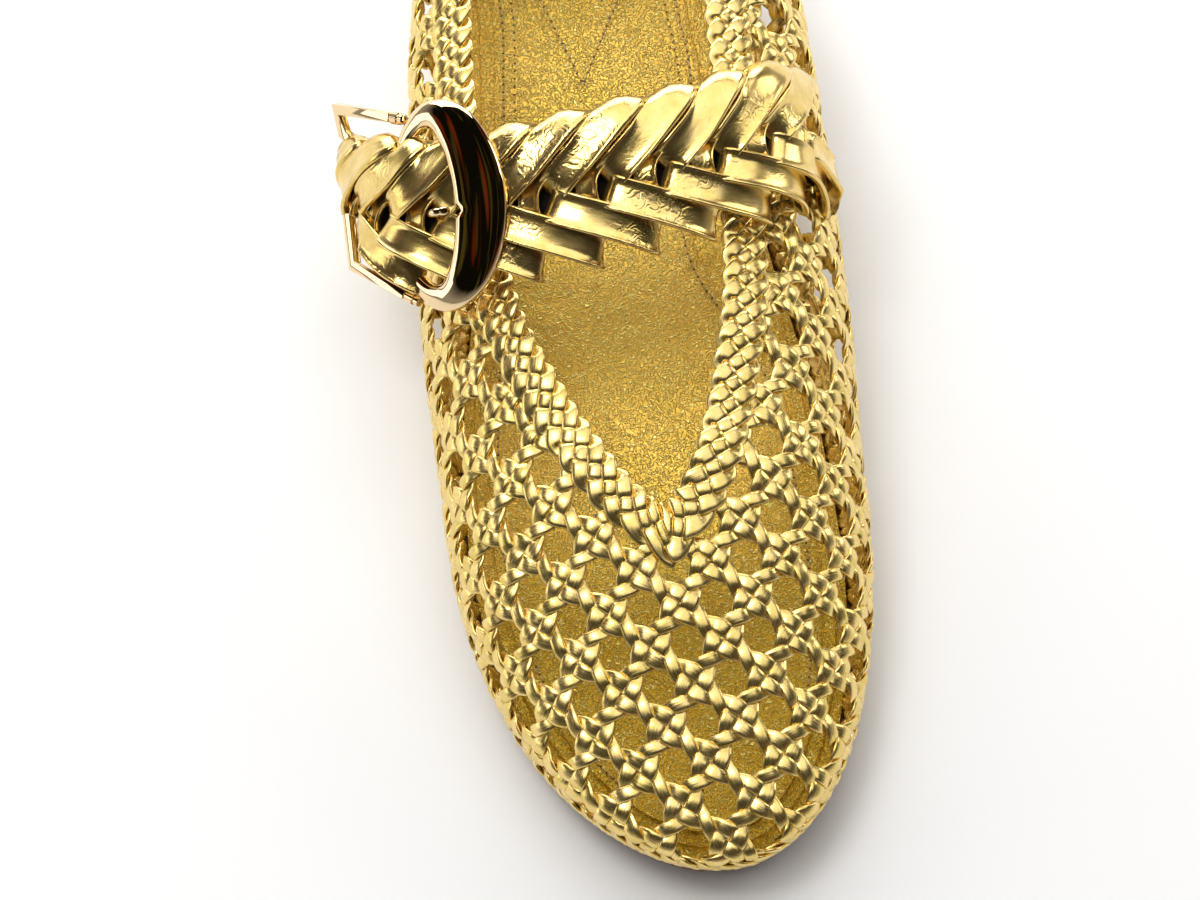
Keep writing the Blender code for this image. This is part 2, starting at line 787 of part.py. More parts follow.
def ring_axes():
    """The ring's centre and its directions to the heel, to the broad bar and upward."""
    near, along, toward_toe, up = (Vector(item[0]) for item in strap_frame(np.array([ring_run()])))
    inward = -along * math.cos(RING_TURN) + up * math.sin(RING_TURN)
    return near + up * RING_LIFT - toward_toe * RING_TO_HEEL, -toward_toe, inward, inward.cross(-toward_toe)


def ring_point(angle, out, up):
    """A point at an angle round the ring from the middle of its broad bar."""
    centre, to_heel, inward, upward = ring_axes()
    broad = (1 + math.cos(angle)) / 2
    middle = centre + inward * math.cos(angle) * RING_SHORT + to_heel * math.sin(angle) * RING_LONG
    middle -= upward * RING_SAG * broad**4
    normal = inward * math.cos(angle) / RING_SHORT + to_heel * math.sin(angle) / RING_LONG
    # The broad bar is rolled back, level with the strap under it.
    roll = RING_TURN * broad
    outward = normal.normalized() * math.cos(roll) - upward * math.sin(roll)
    over = upward * math.cos(roll) + normal.normalized() * math.sin(roll)
    return middle + outward * out + over * up


def ring_section(angle):
    """One section of the ring: flat below and domed above."""
    turned = abs((math.degrees(angle) + 180) % 360 - 180) * MM
    half = float(column(RING, RING_ROWS, "width", turned)) / 2
    thick = float(column(RING, RING_ROWS, "thickness", turned))
    profile = ((-1, 0), (-1, 0.45), (-0.62, 0.86), (0, 1), (0.62, 0.86), (1, 0.45), (1, 0), (0, -0.05))
    return [ring_point(angle, half * x, thick * (z - 0.5)) for x, z in profile]


def make_ring(parts):
    steps = 28
    rings = [ring_section(2 * math.pi * i / steps) for i in range(steps)]
    return new_object("buckle_ring", loft(rings, closed=True), parts, "polished_gold")


def wire(name, points, radius, parts):
    """A wire with flat ends through points."""
    curve = bpy.data.curves.new(name, "CURVE")
    curve.dimensions = "3D"
    curve.bevel_depth = radius
    curve.bevel_resolution = 1
    curve.use_fill_caps = True
    spline = curve.splines.new("POLY")
    spline.points.add(len(points) - 1)
    for spot, point in zip(spline.points, points):
        spot.co = (*point, 1)
    drawn = bpy.data.objects.new(name + "_line", curve)
    parts.objects.link(drawn)
    graph = bpy.context.evaluated_depsgraph_get()
    shape = bmesh.new()
    shape.from_mesh(bpy.data.meshes.new_from_object(drawn.evaluated_get(graph)))
    bpy.data.objects.remove(drawn)
    bmesh.ops.remove_doubles(shape, verts=shape.verts, dist=WIRE_WELD)
    bmesh.ops.recalc_face_normals(shape, faces=shape.faces)
    return new_object(name, shape, parts, "polished_gold")


def make_hinges_and_frame(parts):
    """The barrels on the ring's ends, and the wire frame they carry under the strap."""
    run = np.array([ring_run() + FRAME_RUN])
    middle, along, toward_toe, up = (Vector(item[0]) for item in strap_frame(run))
    bar = [middle + (along * a + toward_toe * b + up * c) * MM for a, b, c in FRAME_ROWS]
    ends = []
    for name, way, corner in (("toe", -1, bar[0]), ("heel", 1, bar[-1])):
        start = ring_point(way * HINGE_ANGLE, HINGE_STANDOFF, 0)
        toward = (corner - start).normalized()
        end = start + toward * HINGE_LENGTH
        wire("buckle_hinge_" + name, (start, end), HINGE_RADIUS, parts)
        ends.append(end + toward * GAP)
    wire("buckle_frame", (ends[0], *bar, ends[1]), FRAME_WIRE, parts)


def make_prong(parts):
    """The prong: from the thin bar, under the strap, up through a hole to the broad bar."""
    run, lift = (np.array([row[i] for row in PRONG_ROWS]) * MM for i in range(2))
    points = on_strap(strap_hole_run(RING_HOLE) + run, np.zeros(len(run)), lift)
    wire("buckle_prong", [Vector(point) for point in points], PRONG_RADIUS, parts)


def main():
    for old in list(bpy.data.objects):
        bpy.data.objects.remove(old)
    parts = bpy.data.collections.new("ballet_flat")
    bpy.context.scene.collection.children.link(parts)
    make_outsole(parts)
    make_heel(parts)
    make_insole(parts)
    make_upper(parts)
    make_strap(parts)
    make_ring(parts)
    make_hinges_and_frame(parts)
    make_prong(parts)


main()
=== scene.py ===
"""Finishes a woven-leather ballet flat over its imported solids, and sets it in a studio.

The upper is woven from pairs of leather strips, edged with plaits, and worked flat first:
x is the distance from the ridge of the last, and y is the station, the distance from the
back of the heel.  The flat work is then wrapped over the last.  The strap's herringbone
braid is worked along the strap's own centre line in the same way.
"""

import json
import math

import bmesh
import bpy
import numpy as np
from bpy.props import FloatProperty, FloatVectorProperty, IntProperty, PointerProperty
from bpy.types import Operator, Panel, PropertyGroup
from mathutils import Euler, Matrix, Vector

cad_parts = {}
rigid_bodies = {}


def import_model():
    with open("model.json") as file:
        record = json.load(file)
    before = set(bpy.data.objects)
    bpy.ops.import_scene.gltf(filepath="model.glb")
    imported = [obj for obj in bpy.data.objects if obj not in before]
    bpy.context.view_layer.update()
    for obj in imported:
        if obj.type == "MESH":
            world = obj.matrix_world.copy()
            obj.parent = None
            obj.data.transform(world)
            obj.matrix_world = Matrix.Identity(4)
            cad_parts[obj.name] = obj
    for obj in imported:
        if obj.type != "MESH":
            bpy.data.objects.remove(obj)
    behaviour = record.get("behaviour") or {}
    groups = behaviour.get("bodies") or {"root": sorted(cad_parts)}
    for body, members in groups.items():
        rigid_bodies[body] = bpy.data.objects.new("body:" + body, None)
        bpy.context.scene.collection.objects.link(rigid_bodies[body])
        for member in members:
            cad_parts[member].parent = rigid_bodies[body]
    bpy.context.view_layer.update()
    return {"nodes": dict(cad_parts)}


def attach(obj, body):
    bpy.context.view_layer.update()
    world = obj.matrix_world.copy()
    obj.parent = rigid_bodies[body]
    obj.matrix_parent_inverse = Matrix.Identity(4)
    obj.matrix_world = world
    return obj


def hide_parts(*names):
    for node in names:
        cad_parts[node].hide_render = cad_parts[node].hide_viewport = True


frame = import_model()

bl_info = {
    "name": "Ballet Flat Finisher",
    "version": (1, 0, 0),
    "blender": (4, 5, 0),
    "location": "3D View > Sidebar > Flat",
    "description": "Weaves, plaits, straps and finishes a leather ballet flat",
    "category": "Object",
}

MM = 0.001

# ---------------------------------------------------------------- sizes of the last

LENGTH = 253 * MM
HEEL_CENTRE = 36 * MM
BALL_CENTRE = 170 * MM
ORIGIN_STATION = 30 * MM
SEAM_STATION = -15.2 * MM
TOE_SWING = 5 * MM
RIDGE_FALL = 0.24
TOE_ROUNDNESS = {"lateral": 2.0, "medial": 1.92}
HEEL_ROUNDNESS = 2.1

# Half widths at the widest level, and the height of the ridge over the ground (mm)
SIDES = ("station", "lateral", "medial", "ridge")
SIDE_ROWS = (
    (36, 39.0, 41.0, 58.0), (65, 43.0, 46.0, 53.0), (100, 45.5, 46.5, 51.0),
    (135, 47.0, 46.0, 50.0), (170, 46.5, 44.0, 46.0),
)
# Height of the outsole's underside over the ground (mm)
TREAD = ("station", "height")
TREAD_ROWS = (
    (0, 9.0), (45, 9.0), (75, 7.2), (105, 3.6), (135, 0.5), (150, 0.0), (192, 0.0), (222, 1.6),
    (253, 6.0),
)
# Height of the widest level over the feather edge, tuck under it, and squareness (mm)
WALLS = ("station", "swell", "lateral", "medial", "fullness")
WALL_ROWS = (
    (0, 16.0, 5.0, 5.0, 3.0), (36, 18.0, 10.0, 14.0, 2.9), (70, 18.0, 12.0, 18.0, 2.7),
    (105, 16.0, 11.0, 15.0, 2.55), (140, 13.0, 6.0, 9.0, 2.5), (172, 11.0, 3.5, 6.0, 2.35),
    (215, 9.0, 4.0, 5.0, 2.3), (253, 8.0, 3.0, 3.0, 2.3),
)
# Distance of the topline from the ridge, on the flat pattern (mm)
TOPLINE = ("station", "lateral", "medial")
TOPLINE_ROWS = (
    (-15.2, 23.0, 23.0), (36, 26.5, 24.5), (60, 27.5, 23.5), (85, 29.0, 22.5), (110, 27.5, 21.0),
    (135, 24.0, 18.5), (149, 19.0, 15.0), (163, 12.7, 10.8), (176, 5.2, 5.0), (182, 0.0, 0.0),
)
THROAT_HALF = math.radians(45)
SOLE_THICKNESS = 3.5 * MM
INSOLE_TOP = 6.0 * MM
INSOLE_CLEARANCE = 1.9 * MM
SLAB_INSET = 0.004
# A half section of the last: places from its ridge to its widest level, and on down past
# the feather edge, which is at 1
OVER = np.linspace(0, math.pi / 2, 40)
UNDER = np.linspace(0, 1.5, 13)[1:]
SURFACE_STEP = 0.3 * MM
BATCH = 12000

# Half diagonals of the weave's diamonds, and the station of one of its knots
CELL_ACROSS = 8.0 * MM
CELL_ALONG = 8.4 * MM
CELL_STATION = 220 * MM
STRIP_CREST = 1.2 * MM

# The strap's centre line: offset from the middle, station and height (mm)
STRAP_ROWS = (
    (37.0, 104.0, 55.5), (20.0, 110.5, 62.0), (0.0, 114.0, 64.0), (-20.0, 115.0, 61.5),
    (-35.0, 113.5, 57.6), (-49.0, 111.2, 54.4), (-57.5, 104.6, 47.0), (-60.5, 99.5, 36.0),
)
STRAP_END_ROWS = ((46.0, 98.0), (-60.0, 96.5))
STRAP_CLEARANCE = 0.2 * MM
STRAP_TILT = math.radians(22)
STRAP_UNDER = -1.9 * MM
CHEVRONS = 11
CHEVRON_SLANT = 12 * MM
HOLE_BEHIND_TIP = 1.2 * MM

# The buckle's ring, and the wire frame and hinges that hang on it
RING_HOLE = 7
RING_PAST_HOLE = -0.7 * MM
RING_TO_HEEL = 1.8 * MM
RING_LIFT = 0.42 * MM
RING_TURN = math.radians(30)
RING_LONG = 20.0 * MM
RING_SHORT = 11.5 * MM
RING_SAG = 1.5 * MM
RING = ("angle", "width", "thickness")
RING_ROWS = (
    (0, 11.6, 3.0), (50, 9.6, 2.8), (90, 6.2, 2.5), (140, 3.6, 2.4), (180, 3.0, 2.4),
)
FRAME_RUN = 23.0 * MM
FRAME_ROWS = (
    (2.5, 11.8, -1.2), (9.5, 0.5, -2.6), (10.5, -15.5, -3.6), (13.0, -17.5, -2.4),
    (12.5, -22.9, -0.4),
)
HINGE_ANGLE = math.radians(118)
HINGE_LENGTH = 4.0 * MM
HINGE_STANDOFF = 3.1 * MM
GAP = 0.3 * MM


def unit(vectors):
    return vectors / np.maximum(np.linalg.norm(vectors, axis=-1, keepdims=True), 1e-12)


def run_along(points):
    """The length along a line of points, from its start to each of them."""
    return np.concatenate([[0], np.cumsum(np.linalg.norm(np.diff(points, axis=0), axis=1))])


def read_at(at, run, points):
    """Points of a line at lengths along it, given the length to each of its own points."""
    return np.stack([np.interp(at, run, values) for values in points.T], axis=-1)


def spline(points, steps):
    """A smooth curve through points, with even steps between each two of them."""
    padded = np.concatenate([2 * points[:1] - points[1:2], points, 2 * points[-1:] - points[-2:-1]])
    t = np.linspace(0, 1, steps, endpoint=False)[:, None]
    pieces = []
    for a, b, c, d in zip(padded, padded[1:], padded[2:], padded[3:]):
        bend = (2 * a - 5 * b + 4 * c - d) * t**2 + (3 * b - a - 3 * c + d) * t**3
        pieces.append((2 * b + (c - a) * t + bend) / 2)
    return np.concatenate([*pieces, points[-1:]])


def column(names, rows, name, at, level_ends=True):
    """A smooth curve through one column of a table of millimetres, read at stations."""
    x = np.array([row[0] for row in rows], float) * MM
    y = np.array([row[names.index(name)] for row in rows], float) * MM
    at = np.clip(np.asarray(at, float), x[0], x[-1])
    step = np.diff(x)
    rise = np.diff(y) / step
    slope = np.zeros_like(y)
    together = rise[:-1] + rise[1:]
    same_way = rise[:-1] * rise[1:] > 0
    slope[1:-1] = np.where(same_way, 2 * rise[:-1] * rise[1:] / np.where(same_way, together, 1), 0)
    if not level_ends:
        slope[0], slope[-1] = rise[0], rise[-1]
    i = np.clip(np.searchsorted(x, at, side="right") - 1, 0, len(x) - 2)
    t = (at - x[i]) / step[i]
    return (
        (1 + 2 * t) * (1 - t) ** 2 * y[i]
        + t * (1 - t) ** 2 * step[i] * slope[i]
        + t * t * (3 - 2 * t) * y[i + 1]
        + t * t * (t - 1) * step[i] * slope[i + 1]
    )


def per_side(names, rows, side, at):
    lateral, medial = (column(names, rows, name, at) for name in ("lateral", "medial"))
    return np.where(side < 0, lateral, medial)


def tread_height(station):
    return column(TREAD, TREAD_ROWS, "height", station)


def oval_reach(across, along, sine, cosine, roundness):
    """Distance from the centre of an oval to its rim, in a direction."""
    return ((sine / across) ** roundness + (cosine / along) ** roundness) ** (-1 / roundness)


def sections(side, distance_across, station):
    """The half section of the last that each flat point lies on."""
    forward = np.maximum(station - BALL_CENTRE, 0)
    in_toe = station > BALL_CENTRE
    in_heel = station < HEEL_CENTRE
    turn = np.arctan2(distance_across, np.maximum(forward, 1e-9))
    swing = (HEEL_CENTRE - station) / (HEEL_CENTRE - SEAM_STATION) * math.pi / 2
    swing = np.clip(swing, 0, math.pi / 2 * 1.05)
    out_x = np.where(in_toe, np.sin(turn), np.where(in_heel, np.cos(swing), 1))
    out_y = np.where(in_toe, np.cos(turn), np.where(in_heel, -np.sin(swing), 0))
    start = np.clip(station, HEEL_CENTRE, BALL_CENTRE)
    half = per_side(SIDES, SIDE_ROWS, side, start)
    toe_roundness = np.where(side < 0, TOE_ROUNDNESS["lateral"], TOE_ROUNDNESS["medial"])
    sine, cosine = np.abs(out_x), np.abs(out_y)
    toe = oval_reach(half, LENGTH - BALL_CENTRE, sine, cosine, toe_roundness)
    heel = oval_reach(half, HEEL_CENTRE, sine, cosine, HEEL_ROUNDNESS)
    reach = np.where(in_toe, toe, np.where(in_heel, heel, half))[:, None]
    edge = np.clip(start + reach[:, 0] * out_y, 0, LENGTH)
    tuck = per_side(WALLS, WALL_ROWS, side, edge)[:, None]
    power = 2 / (column(WALLS, WALL_ROWS, "fullness", edge)[:, None] / MM)
    base = tread_height(edge)[:, None] + SOLE_THICKNESS
    widest = base + column(WALLS, WALL_ROWS, "swell", edge)[:, None]
    ridge = column(SIDES, SIDE_ROWS, "ridge", start)[:, None]
    over_x = reach * np.sin(OVER) ** power
    falling = ridge - RIDGE_FALL * over_x * np.where(in_toe, out_y, 0)[:, None]
    over_z = widest + (falling - widest) * np.abs(np.cos(OVER)) ** power
    under_x = reach - tuck * UNDER**2
    under_z = widest - (widest - base) * UNDER
    x = np.concatenate([over_x, under_x], axis=1)
    z = np.concatenate([over_z, under_z], axis=1)
    steps = np.hypot(np.diff(x), np.diff(z))
    run = np.concatenate([np.zeros((len(side), 1)), np.cumsum(steps, axis=1)], axis=1)
    return out_x, out_y, start, x, z, run


def on_surface(across, station):
    """Points of the last for points of the flat pattern."""
    side = np.where(across < 0, -1.0, 1.0)
    distance = np.abs(across)
    in_toe = station > BALL_CENTRE
    from_ridge = np.where(in_toe, np.hypot(across, station - BALL_CENTRE), distance)
    out_x, out_y, start, x, z, run = sections(side, distance, station)
    rows = np.arange(len(side))
    i = np.clip((run < from_ridge[:, None]).sum(axis=1) - 1, 0, run.shape[1] - 2)
    part = (from_ridge - run[rows, i]) / (run[rows, i + 1] - run[rows, i])
    out = x[rows, i] + part * (x[rows, i + 1] - x[rows, i])
    up = z[rows, i] + part * (z[rows, i + 1] - z[rows, i])
    reached = start + out * out_y
    ahead = np.maximum(reached - BALL_CENTRE, 0) / (LENGTH - BALL_CENTRE)
    sideways = side * out * out_x + TOE_SWING * ahead**2
    return np.stack([sideways, ORIGIN_STATION - reached, up], axis=-1)


def on_last(points):
    """Points over the last for flat points: across, station and height over the last."""
    laid = np.empty_like(points)
    step = SURFACE_STEP
    for low in range(0, len(points), BATCH):
        part = slice(low, low + BATCH)
        across, station, lift = points[part].T
        station = np.maximum(station, SEAM_STATION)
        back = np.where(station < SEAM_STATION + step, 0, step)
        side = np.where(across < 0, -1.0, 1.0)
        here = on_surface(across, station)
        ahead = on_surface(across, station + step) - on_surface(across, station - back)
        outer = on_surface(across + side * step, station) - here
        normal = unit(np.cross(ahead, outer * side[:, None]))
        laid[part] = here + normal * lift[:, None]
    return laid


def feather_distance(side, station, turn=None):
    """Distance over the last from the ridge to the feather edge."""
    side = np.broadcast_to(np.float64(side), np.shape(station)).copy()
    distance = np.ones_like(side) if turn is None else np.tan(turn)
    station = station if turn is None else np.full(len(side), BALL_CENTRE + 1.0)
    run = sections(side, distance, station)[-1]
    return np.array([np.interp(1, UNDER, row[len(OVER) :]) for row in run])


def topline(side, count=60):
    """The flat pattern's topline from the seam to the throat."""
    station = np.linspace(SEAM_STATION, TOPLINE_ROWS[-1][0] * MM, count)
    name = "lateral" if side < 0 else "medial"
    across = column(TOPLINE, TOPLINE_ROWS, name, station, level_ends=False)
    return np.stack([side * across, station], axis=-1)


def feather_edge(side, count=40, toe_count=28):
    """The flat pattern's lower edge from the seam to the tip of the toe."""
    station = np.linspace(SEAM_STATION, BALL_CENTRE, count)
    leg = feather_distance(side, station)
    turn = np.linspace(math.pi / 2, 0, toe_count)[1:]
    toe = feather_distance(side, turn, turn)
    x = np.concatenate([leg, toe * np.sin(turn)]) * side
    y = np.concatenate([station, BALL_CENTRE + toe * np.cos(turn)])
    return np.stack([x, y], axis=-1)


def square_to(points):
    """The directions at right angles to a line at each of its points."""
    along = unit(np.gradient(points, axis=0))
    return np.stack([along[:, 1], -along[:, 0]], axis=-1)


def moved_out(side, distance):
    """The topline moved away from the opening, and which of its points stay on their side."""
    near = topline(side)
    far = near + square_to(near) * side * distance
    far[0] = (near[0, 0] + side * distance, SEAM_STATION)
    far[-1] = (0, near[-1, 1] + distance / math.sin(THROAT_HALF))
    return far, far[:, 0] * side >= 0


def both_sides(lateral, medial):
    """A line from the lateral seam round the front to the medial seam."""
    return np.concatenate([lateral, medial[::-1][1:]])


def feather_points(side, margin):
    """Points of the feather edge on one side, moved out level, from heel to toe."""
    flat = feather_edge(side)
    points = on_surface(flat[:, 0] + side * 1e-6, flat[:, 1])[:, :2]
    return points - square_to(points) * side * margin


def strap_route():
    """The strap's centre line, from its medial end to its lateral end."""
    over_wall = STRIP_CREST + STRAP_CLEARANCE - STRAP_UNDER
    ends = np.array([(x * MM, y * MM, over_wall) for x, y in STRAP_END_ROWS])
    medial, lateral = on_last(ends)
    rows = np.array(STRAP_ROWS) * MM
    middle = np.stack([rows[:, 0], ORIGIN_STATION - rows[:, 1], rows[:, 2]], axis=-1)
    return spline(np.array([medial, *middle, lateral]), 24)


STRAP_CURVE = strap_route()
STRAP_RUN = run_along(STRAP_CURVE)
STRAP_LENGTH = float(STRAP_RUN[-1])
CHEVRON_PITCH = (STRAP_LENGTH - CHEVRON_SLANT) / CHEVRONS


def strap_frame(run_at):
    """The strap's centre and its directions along, toward the toe and upward."""
    near, ahead, behind = (read_at(run_at + step, STRAP_RUN, STRAP_CURVE) for step in (0, MM, -MM))
    along = unit(ahead - behind)
    tilt = STRAP_TILT * (1 - along[:, 2] ** 2)
    toward_toe = np.stack([np.zeros(len(tilt)), -np.cos(tilt), -np.sin(tilt)], axis=-1)
    toward_toe = unit(toward_toe - along * np.sum(toward_toe * along, axis=1)[:, None])
    return near, along, toward_toe, np.cross(along, toward_toe)


def on_strap(points):
    """Points of the strap from places along it, across it (toe side +) and over it."""
    run = np.clip(points[:, 0], 0, STRAP_LENGTH)
    near, along, toward_toe, up = strap_frame(run)
    near = near + along * (points[:, 0] - run)[:, None]
    return near + toward_toe * points[:, 1:2] + up * points[:, 2:3]


def strap_hole_run(number):
    return number * CHEVRON_PITCH + CHEVRON_SLANT - HOLE_BEHIND_TIP


def ring_axes():
    """The ring's centre and its directions to the heel, to the broad bar and upward."""
    at = np.array([strap_hole_run(RING_HOLE) + RING_PAST_HOLE])
    near, along, toward_toe, up = (Vector(item[0]) for item in strap_frame(at))
    inward = -along * math.cos(RING_TURN) + up * math.sin(RING_TURN)
    centre = near + up * RING_LIFT - toward_toe * RING_TO_HEEL
    return centre, -toward_toe, inward, inward.cross(-toward_toe)


def ring_point(angle, out, up):
    """A point at an angle round the ring from the middle of its broad bar."""
    centre, to_heel, inward, upward = ring_axes()
    broad = (1 + math.cos(angle)) / 2
    middle = centre + inward * math.cos(angle) * RING_SHORT + to_heel * math.sin(angle) * RING_LONG
    middle -= upward * RING_SAG * broad**4
    normal = inward * math.cos(angle) / RING_SHORT + to_heel * math.sin(angle) / RING_LONG
    roll = RING_TURN * broad
    outward = normal.normalized() * math.cos(roll) - upward * math.sin(roll)
    over = upward * math.cos(roll) + normal.normalized() * math.sin(roll)
    return middle + outward * out + over * up


# ---------------------------------------------------------------- settings


def a_length(name, description, size):
    """A property for a length given in millimetres."""
    return FloatProperty(
        name=name, description=description, default=size * MM, unit="LENGTH", precision=5
    )


def an_angle(name, description, degrees):
    return FloatProperty(
        name=name, description=description, default=math.radians(degrees), subtype="ANGLE"
    )


def a_colour(name, description, value):
    return FloatVectorProperty(
        name=name, description=description, default=value, subtype="COLOR", size=3, min=0, max=1
    )


def a_power(name, description, value):
    return FloatProperty(name=name, description=description, default=value)


class WeaveSettings(PropertyGroup):
    width: a_length("Strip width", "Width of a strip at a knot", 3.6)
    waist: a_length("Link width", "Width of a strip half way between two knots", 3.0)
    thickness: a_length("Strip thickness", "Thickness of a folded strip", 0.95)
    lane: a_length("Lane", "How far each strip of a pair lies from their line", 1.75)
    rise: a_length("Rise", "How far a strip rises and falls as it crosses others", 0.50)
    samples: IntProperty(
        name="Sections", description="Sections of a strip between two knots", default=14, min=6
    )


class PlaitSettings(PropertyGroup):
    collar_width: a_length("Collar width", "Width of the plait round the opening", 10.5)
    collar_strands: IntProperty(
        name="Collar strands", description="Strands of the collar's plait", default=4, min=3
    )
    collar_strand_width: a_length("Collar strand", "Width of a strand of the collar's plait", 3.6)
    collar_repeat: a_length(
        "Collar repeat", "Length in which a collar strand returns to its edge", 20
    )
    rand_width: a_length("Rand width", "Width of the plait along the sole", 8.5)
    strand_width: a_length("Strand width", "Width of a plait's strand", 2.8)


class StrapSettings(PropertyGroup):
    upper_width: a_length("Upper strips", "Width of a folded strip on the strap's heel side", 7.4)
    lower_width: a_length("Lower strips", "Width of a folded strip on the strap's toe side", 7.8)
    strip_thickness: a_length("Strip thickness", "Thickness of a folded strip", 1.9)


class LeatherSettings(PropertyGroup):
    weave_colour: a_colour("Weave", "Foil on the woven strips", (0.88, 0.66, 0.23))
    strap_colour: a_colour("Strap", "Foil on the strap", (0.82, 0.60, 0.21))
    insole_colour: a_colour("Insole", "Foil on the insole", (0.97, 0.64, 0.125))
    sole_colour: a_colour("Sole", "Leather of the outsole and heel", (0.16, 0.07, 0.03))
    buckle_colour: a_colour("Buckle", "Plated metal of the buckle", (0.85, 0.65, 0.38))


class StudioSettings(PropertyGroup):
    elevation: an_angle("Elevation", "Of the camera above the floor", 65)
    turn: an_angle("Turn", "Of the camera round the shoe, to its lateral side", 8)
    lens: FloatProperty(name="Lens", description="Focal length in millimetres", default=124.7)
    centring: an_angle("Centring", "Turn of the camera in place that centres the one shoe", 3.1)
    top: a_power("Top", "Power of the softbox overhead", 30.0)
    strap: a_power("Strap", "Power of the strap's softbox", 36.0)
    key: a_power("Key", "Power of the small softbox", 9.0)
    fill: a_power("Fill", "Strength of the even light", 0.25)
    back: a_power("Back", "Power of the softbox behind", 28.0)
    right: a_power("Right", "Power of the softbox at right", 2.5)
    left: a_power("Left", "Power of the softbox at left", 2.0)


# ---------------------------------------------------------------- materials


def fresh_material(name):
    material = bpy.data.materials.new(name)
    material.use_nodes = True
    tree = material.node_tree
    return material, tree, tree.nodes["Principled BSDF"]


def set_inputs(node, inputs):
    """Gives a node its inputs, as links or as values."""
    for key, value in inputs.items():
        if isinstance(value, bpy.types.NodeSocket):
            node.id_data.links.new(value, node.inputs[key])
        else:
            node.inputs[key].default_value = value


def add_node(tree, kind, inputs=(), **settings):
    made = tree.nodes.new(kind)
    for name, value in settings.items():
        setattr(made, name, value)
    set_inputs(made, dict(inputs))
    return made


def place_on(tree):
    return add_node(tree, "ShaderNodeTexCoord").outputs["Object"]


def stretched(tree, vector, scale):
    inputs = {"Vector": vector, "Scale": scale}
    return add_node(tree, "ShaderNodeMapping", inputs).outputs[0]


def math_node(tree, operation, first, second=None):
    inputs = {0: first} if second is None else {0: first, 1: second}
    return add_node(tree, "ShaderNodeMath", inputs, operation=operation).outputs[0]


def plus(tree, height, more, part):
    """A height with part of another added."""
    return math_node(tree, "ADD", height, math_node(tree, "MULTIPLY", more, part))


def from_middle(tree, value):
    return math_node(tree, "ABSOLUTE", math_node(tree, "SUBTRACT", value, 0.5))


def between(tree, value, low, high, to_low=0.0, to_high=1.0):
    limits = {"From Min": low, "From Max": high, "To Min": to_low, "To Max": to_high}
    return add_node(tree, "ShaderNodeMapRange", {"Value": value, **limits}).outputs[0]


def mixed(tree, part, first, second):
    inputs = {0: part, 6: first, 7: second}
    return add_node(tree, "ShaderNodeMix", inputs, data_type="RGBA").outputs[2]


def tint(colour, factor, warmth=1.0):
    red, green, blue = colour
    return (min(red * factor, 1), min(green * factor, 1), min(blue * factor * warmth, 1), 1)


def noise(tree, vector, scale, detail=2.0, rough=0.5, distortion=0.0):
    facts = {"Scale": scale, "Detail": detail, "Roughness": rough, "Distortion": distortion}
    return add_node(tree, "ShaderNodeTexNoise", {"Vector": vector, **facts}).outputs["Fac"]


def bump(tree, height, distance, strength=1.0):
    inputs = {"Height": height, "Distance": distance, "Strength": strength}
    return add_node(tree, "ShaderNodeBump", inputs).outputs[0]


def strip_foil(name, colour, roughness, crinkle=0.0):
    """Foiled leather cut into strips: ridges and scuffs run along the strip."""
    material, tree, shader = fresh_material(name)
    uv = add_node(tree, "ShaderNodeUVMap", uv_map="strip").outputs[0]
    place = place_on(tree)
    streak = noise(tree, stretched(tree, uv, (0.5, 5.0, 1.0)), 3.0, 3.0, 0.6)
    mottle = between(tree, noise(tree, place, 260.0, 3.0, 0.6), 0.3, 0.7)
    scuff = between(tree, streak, 0.66, 0.84)
    base = mixed(tree, mottle, tint(colour, 0.86, 0.8), tint(colour, 1.1, 1.15))
    height = plus(tree, streak, noise(tree, place, 2400.0, 2.0, 0.6), 0.10)
    if crinkle:
        fold = between(tree, from_middle(tree, noise(tree, place, 420.0, 1.0, 0.5, 0.8)), 0.0, 0.12)
        patch = between(tree, noise(tree, place, 55.0, 1.0), 0.46, 0.60, 0.0, crinkle)
        height = plus(tree, height, fold, patch)
    set_inputs(shader, {
        "Base Color": mixed(tree, scuff, base, tint(colour, 0.66, 0.5)),
        "Roughness": between(tree, streak, 0.25, 0.75, roughness - 0.05, roughness + 0.08),
        "Metallic": 0.93,
        "Normal": bump(tree, height, 0.05 * MM, 0.8),
    })
    return material


def grained_foil(name, colour, roughness):
    """Foiled leather, fine wandering grain with painted highlights, soft wrinkles, painted shade in
    the toe.
    """
    material, tree, shader = fresh_material(name)
    place = place_on(tree)
    line = from_middle(tree, noise(tree, place, 1300.0, 0.0, 0.0, 0.6))
    ridge = between(tree, line, 0.0, 0.12, 1.0, 0.0)
    cloud = noise(tree, place, 45.0, 3.0, 0.55)
    mottle = between(tree, cloud, 0.3, 0.7)
    # Painted shade: the insole darkens toward the toe, standing in for the shade under the weave
    toward_toe = add_node(tree, "ShaderNodeSeparateXYZ", {0: place}).outputs[1]
    in_toe = between(tree, toward_toe, -0.125, -0.165)
    # Painted highlight: the grain's ridges are lightened and paled as if they caught the light
    wear_and_highlight = math_node(tree, "MULTIPLY", ridge, 0.7)
    base = mixed(tree, mottle, tint(colour, 0.80, 0.75), tint(colour, 1.04, 1.05))
    # The painted shade: a darker, less yellow copy of the foil toward the toe
    base = mixed(tree, in_toe, base, tint(colour, 0.60, 0.50))
    height = plus(tree, ridge, noise(tree, place, 2600.0, 2.0, 0.6), 0.5)
    height = plus(tree, height, noise(tree, place, 95.0, 2.0, 0.5, 0.6), 2.2)
    set_inputs(shader, {
        "Base Color": mixed(tree, wear_and_highlight, base, tint(colour, 1.5, 1.9)),
        "Roughness": between(tree, cloud, 0.3, 0.7, roughness - 0.05, roughness + 0.08),
        "Metallic": 1.0,
        "Normal": bump(tree, height, 0.24 * MM),
    })
    return material


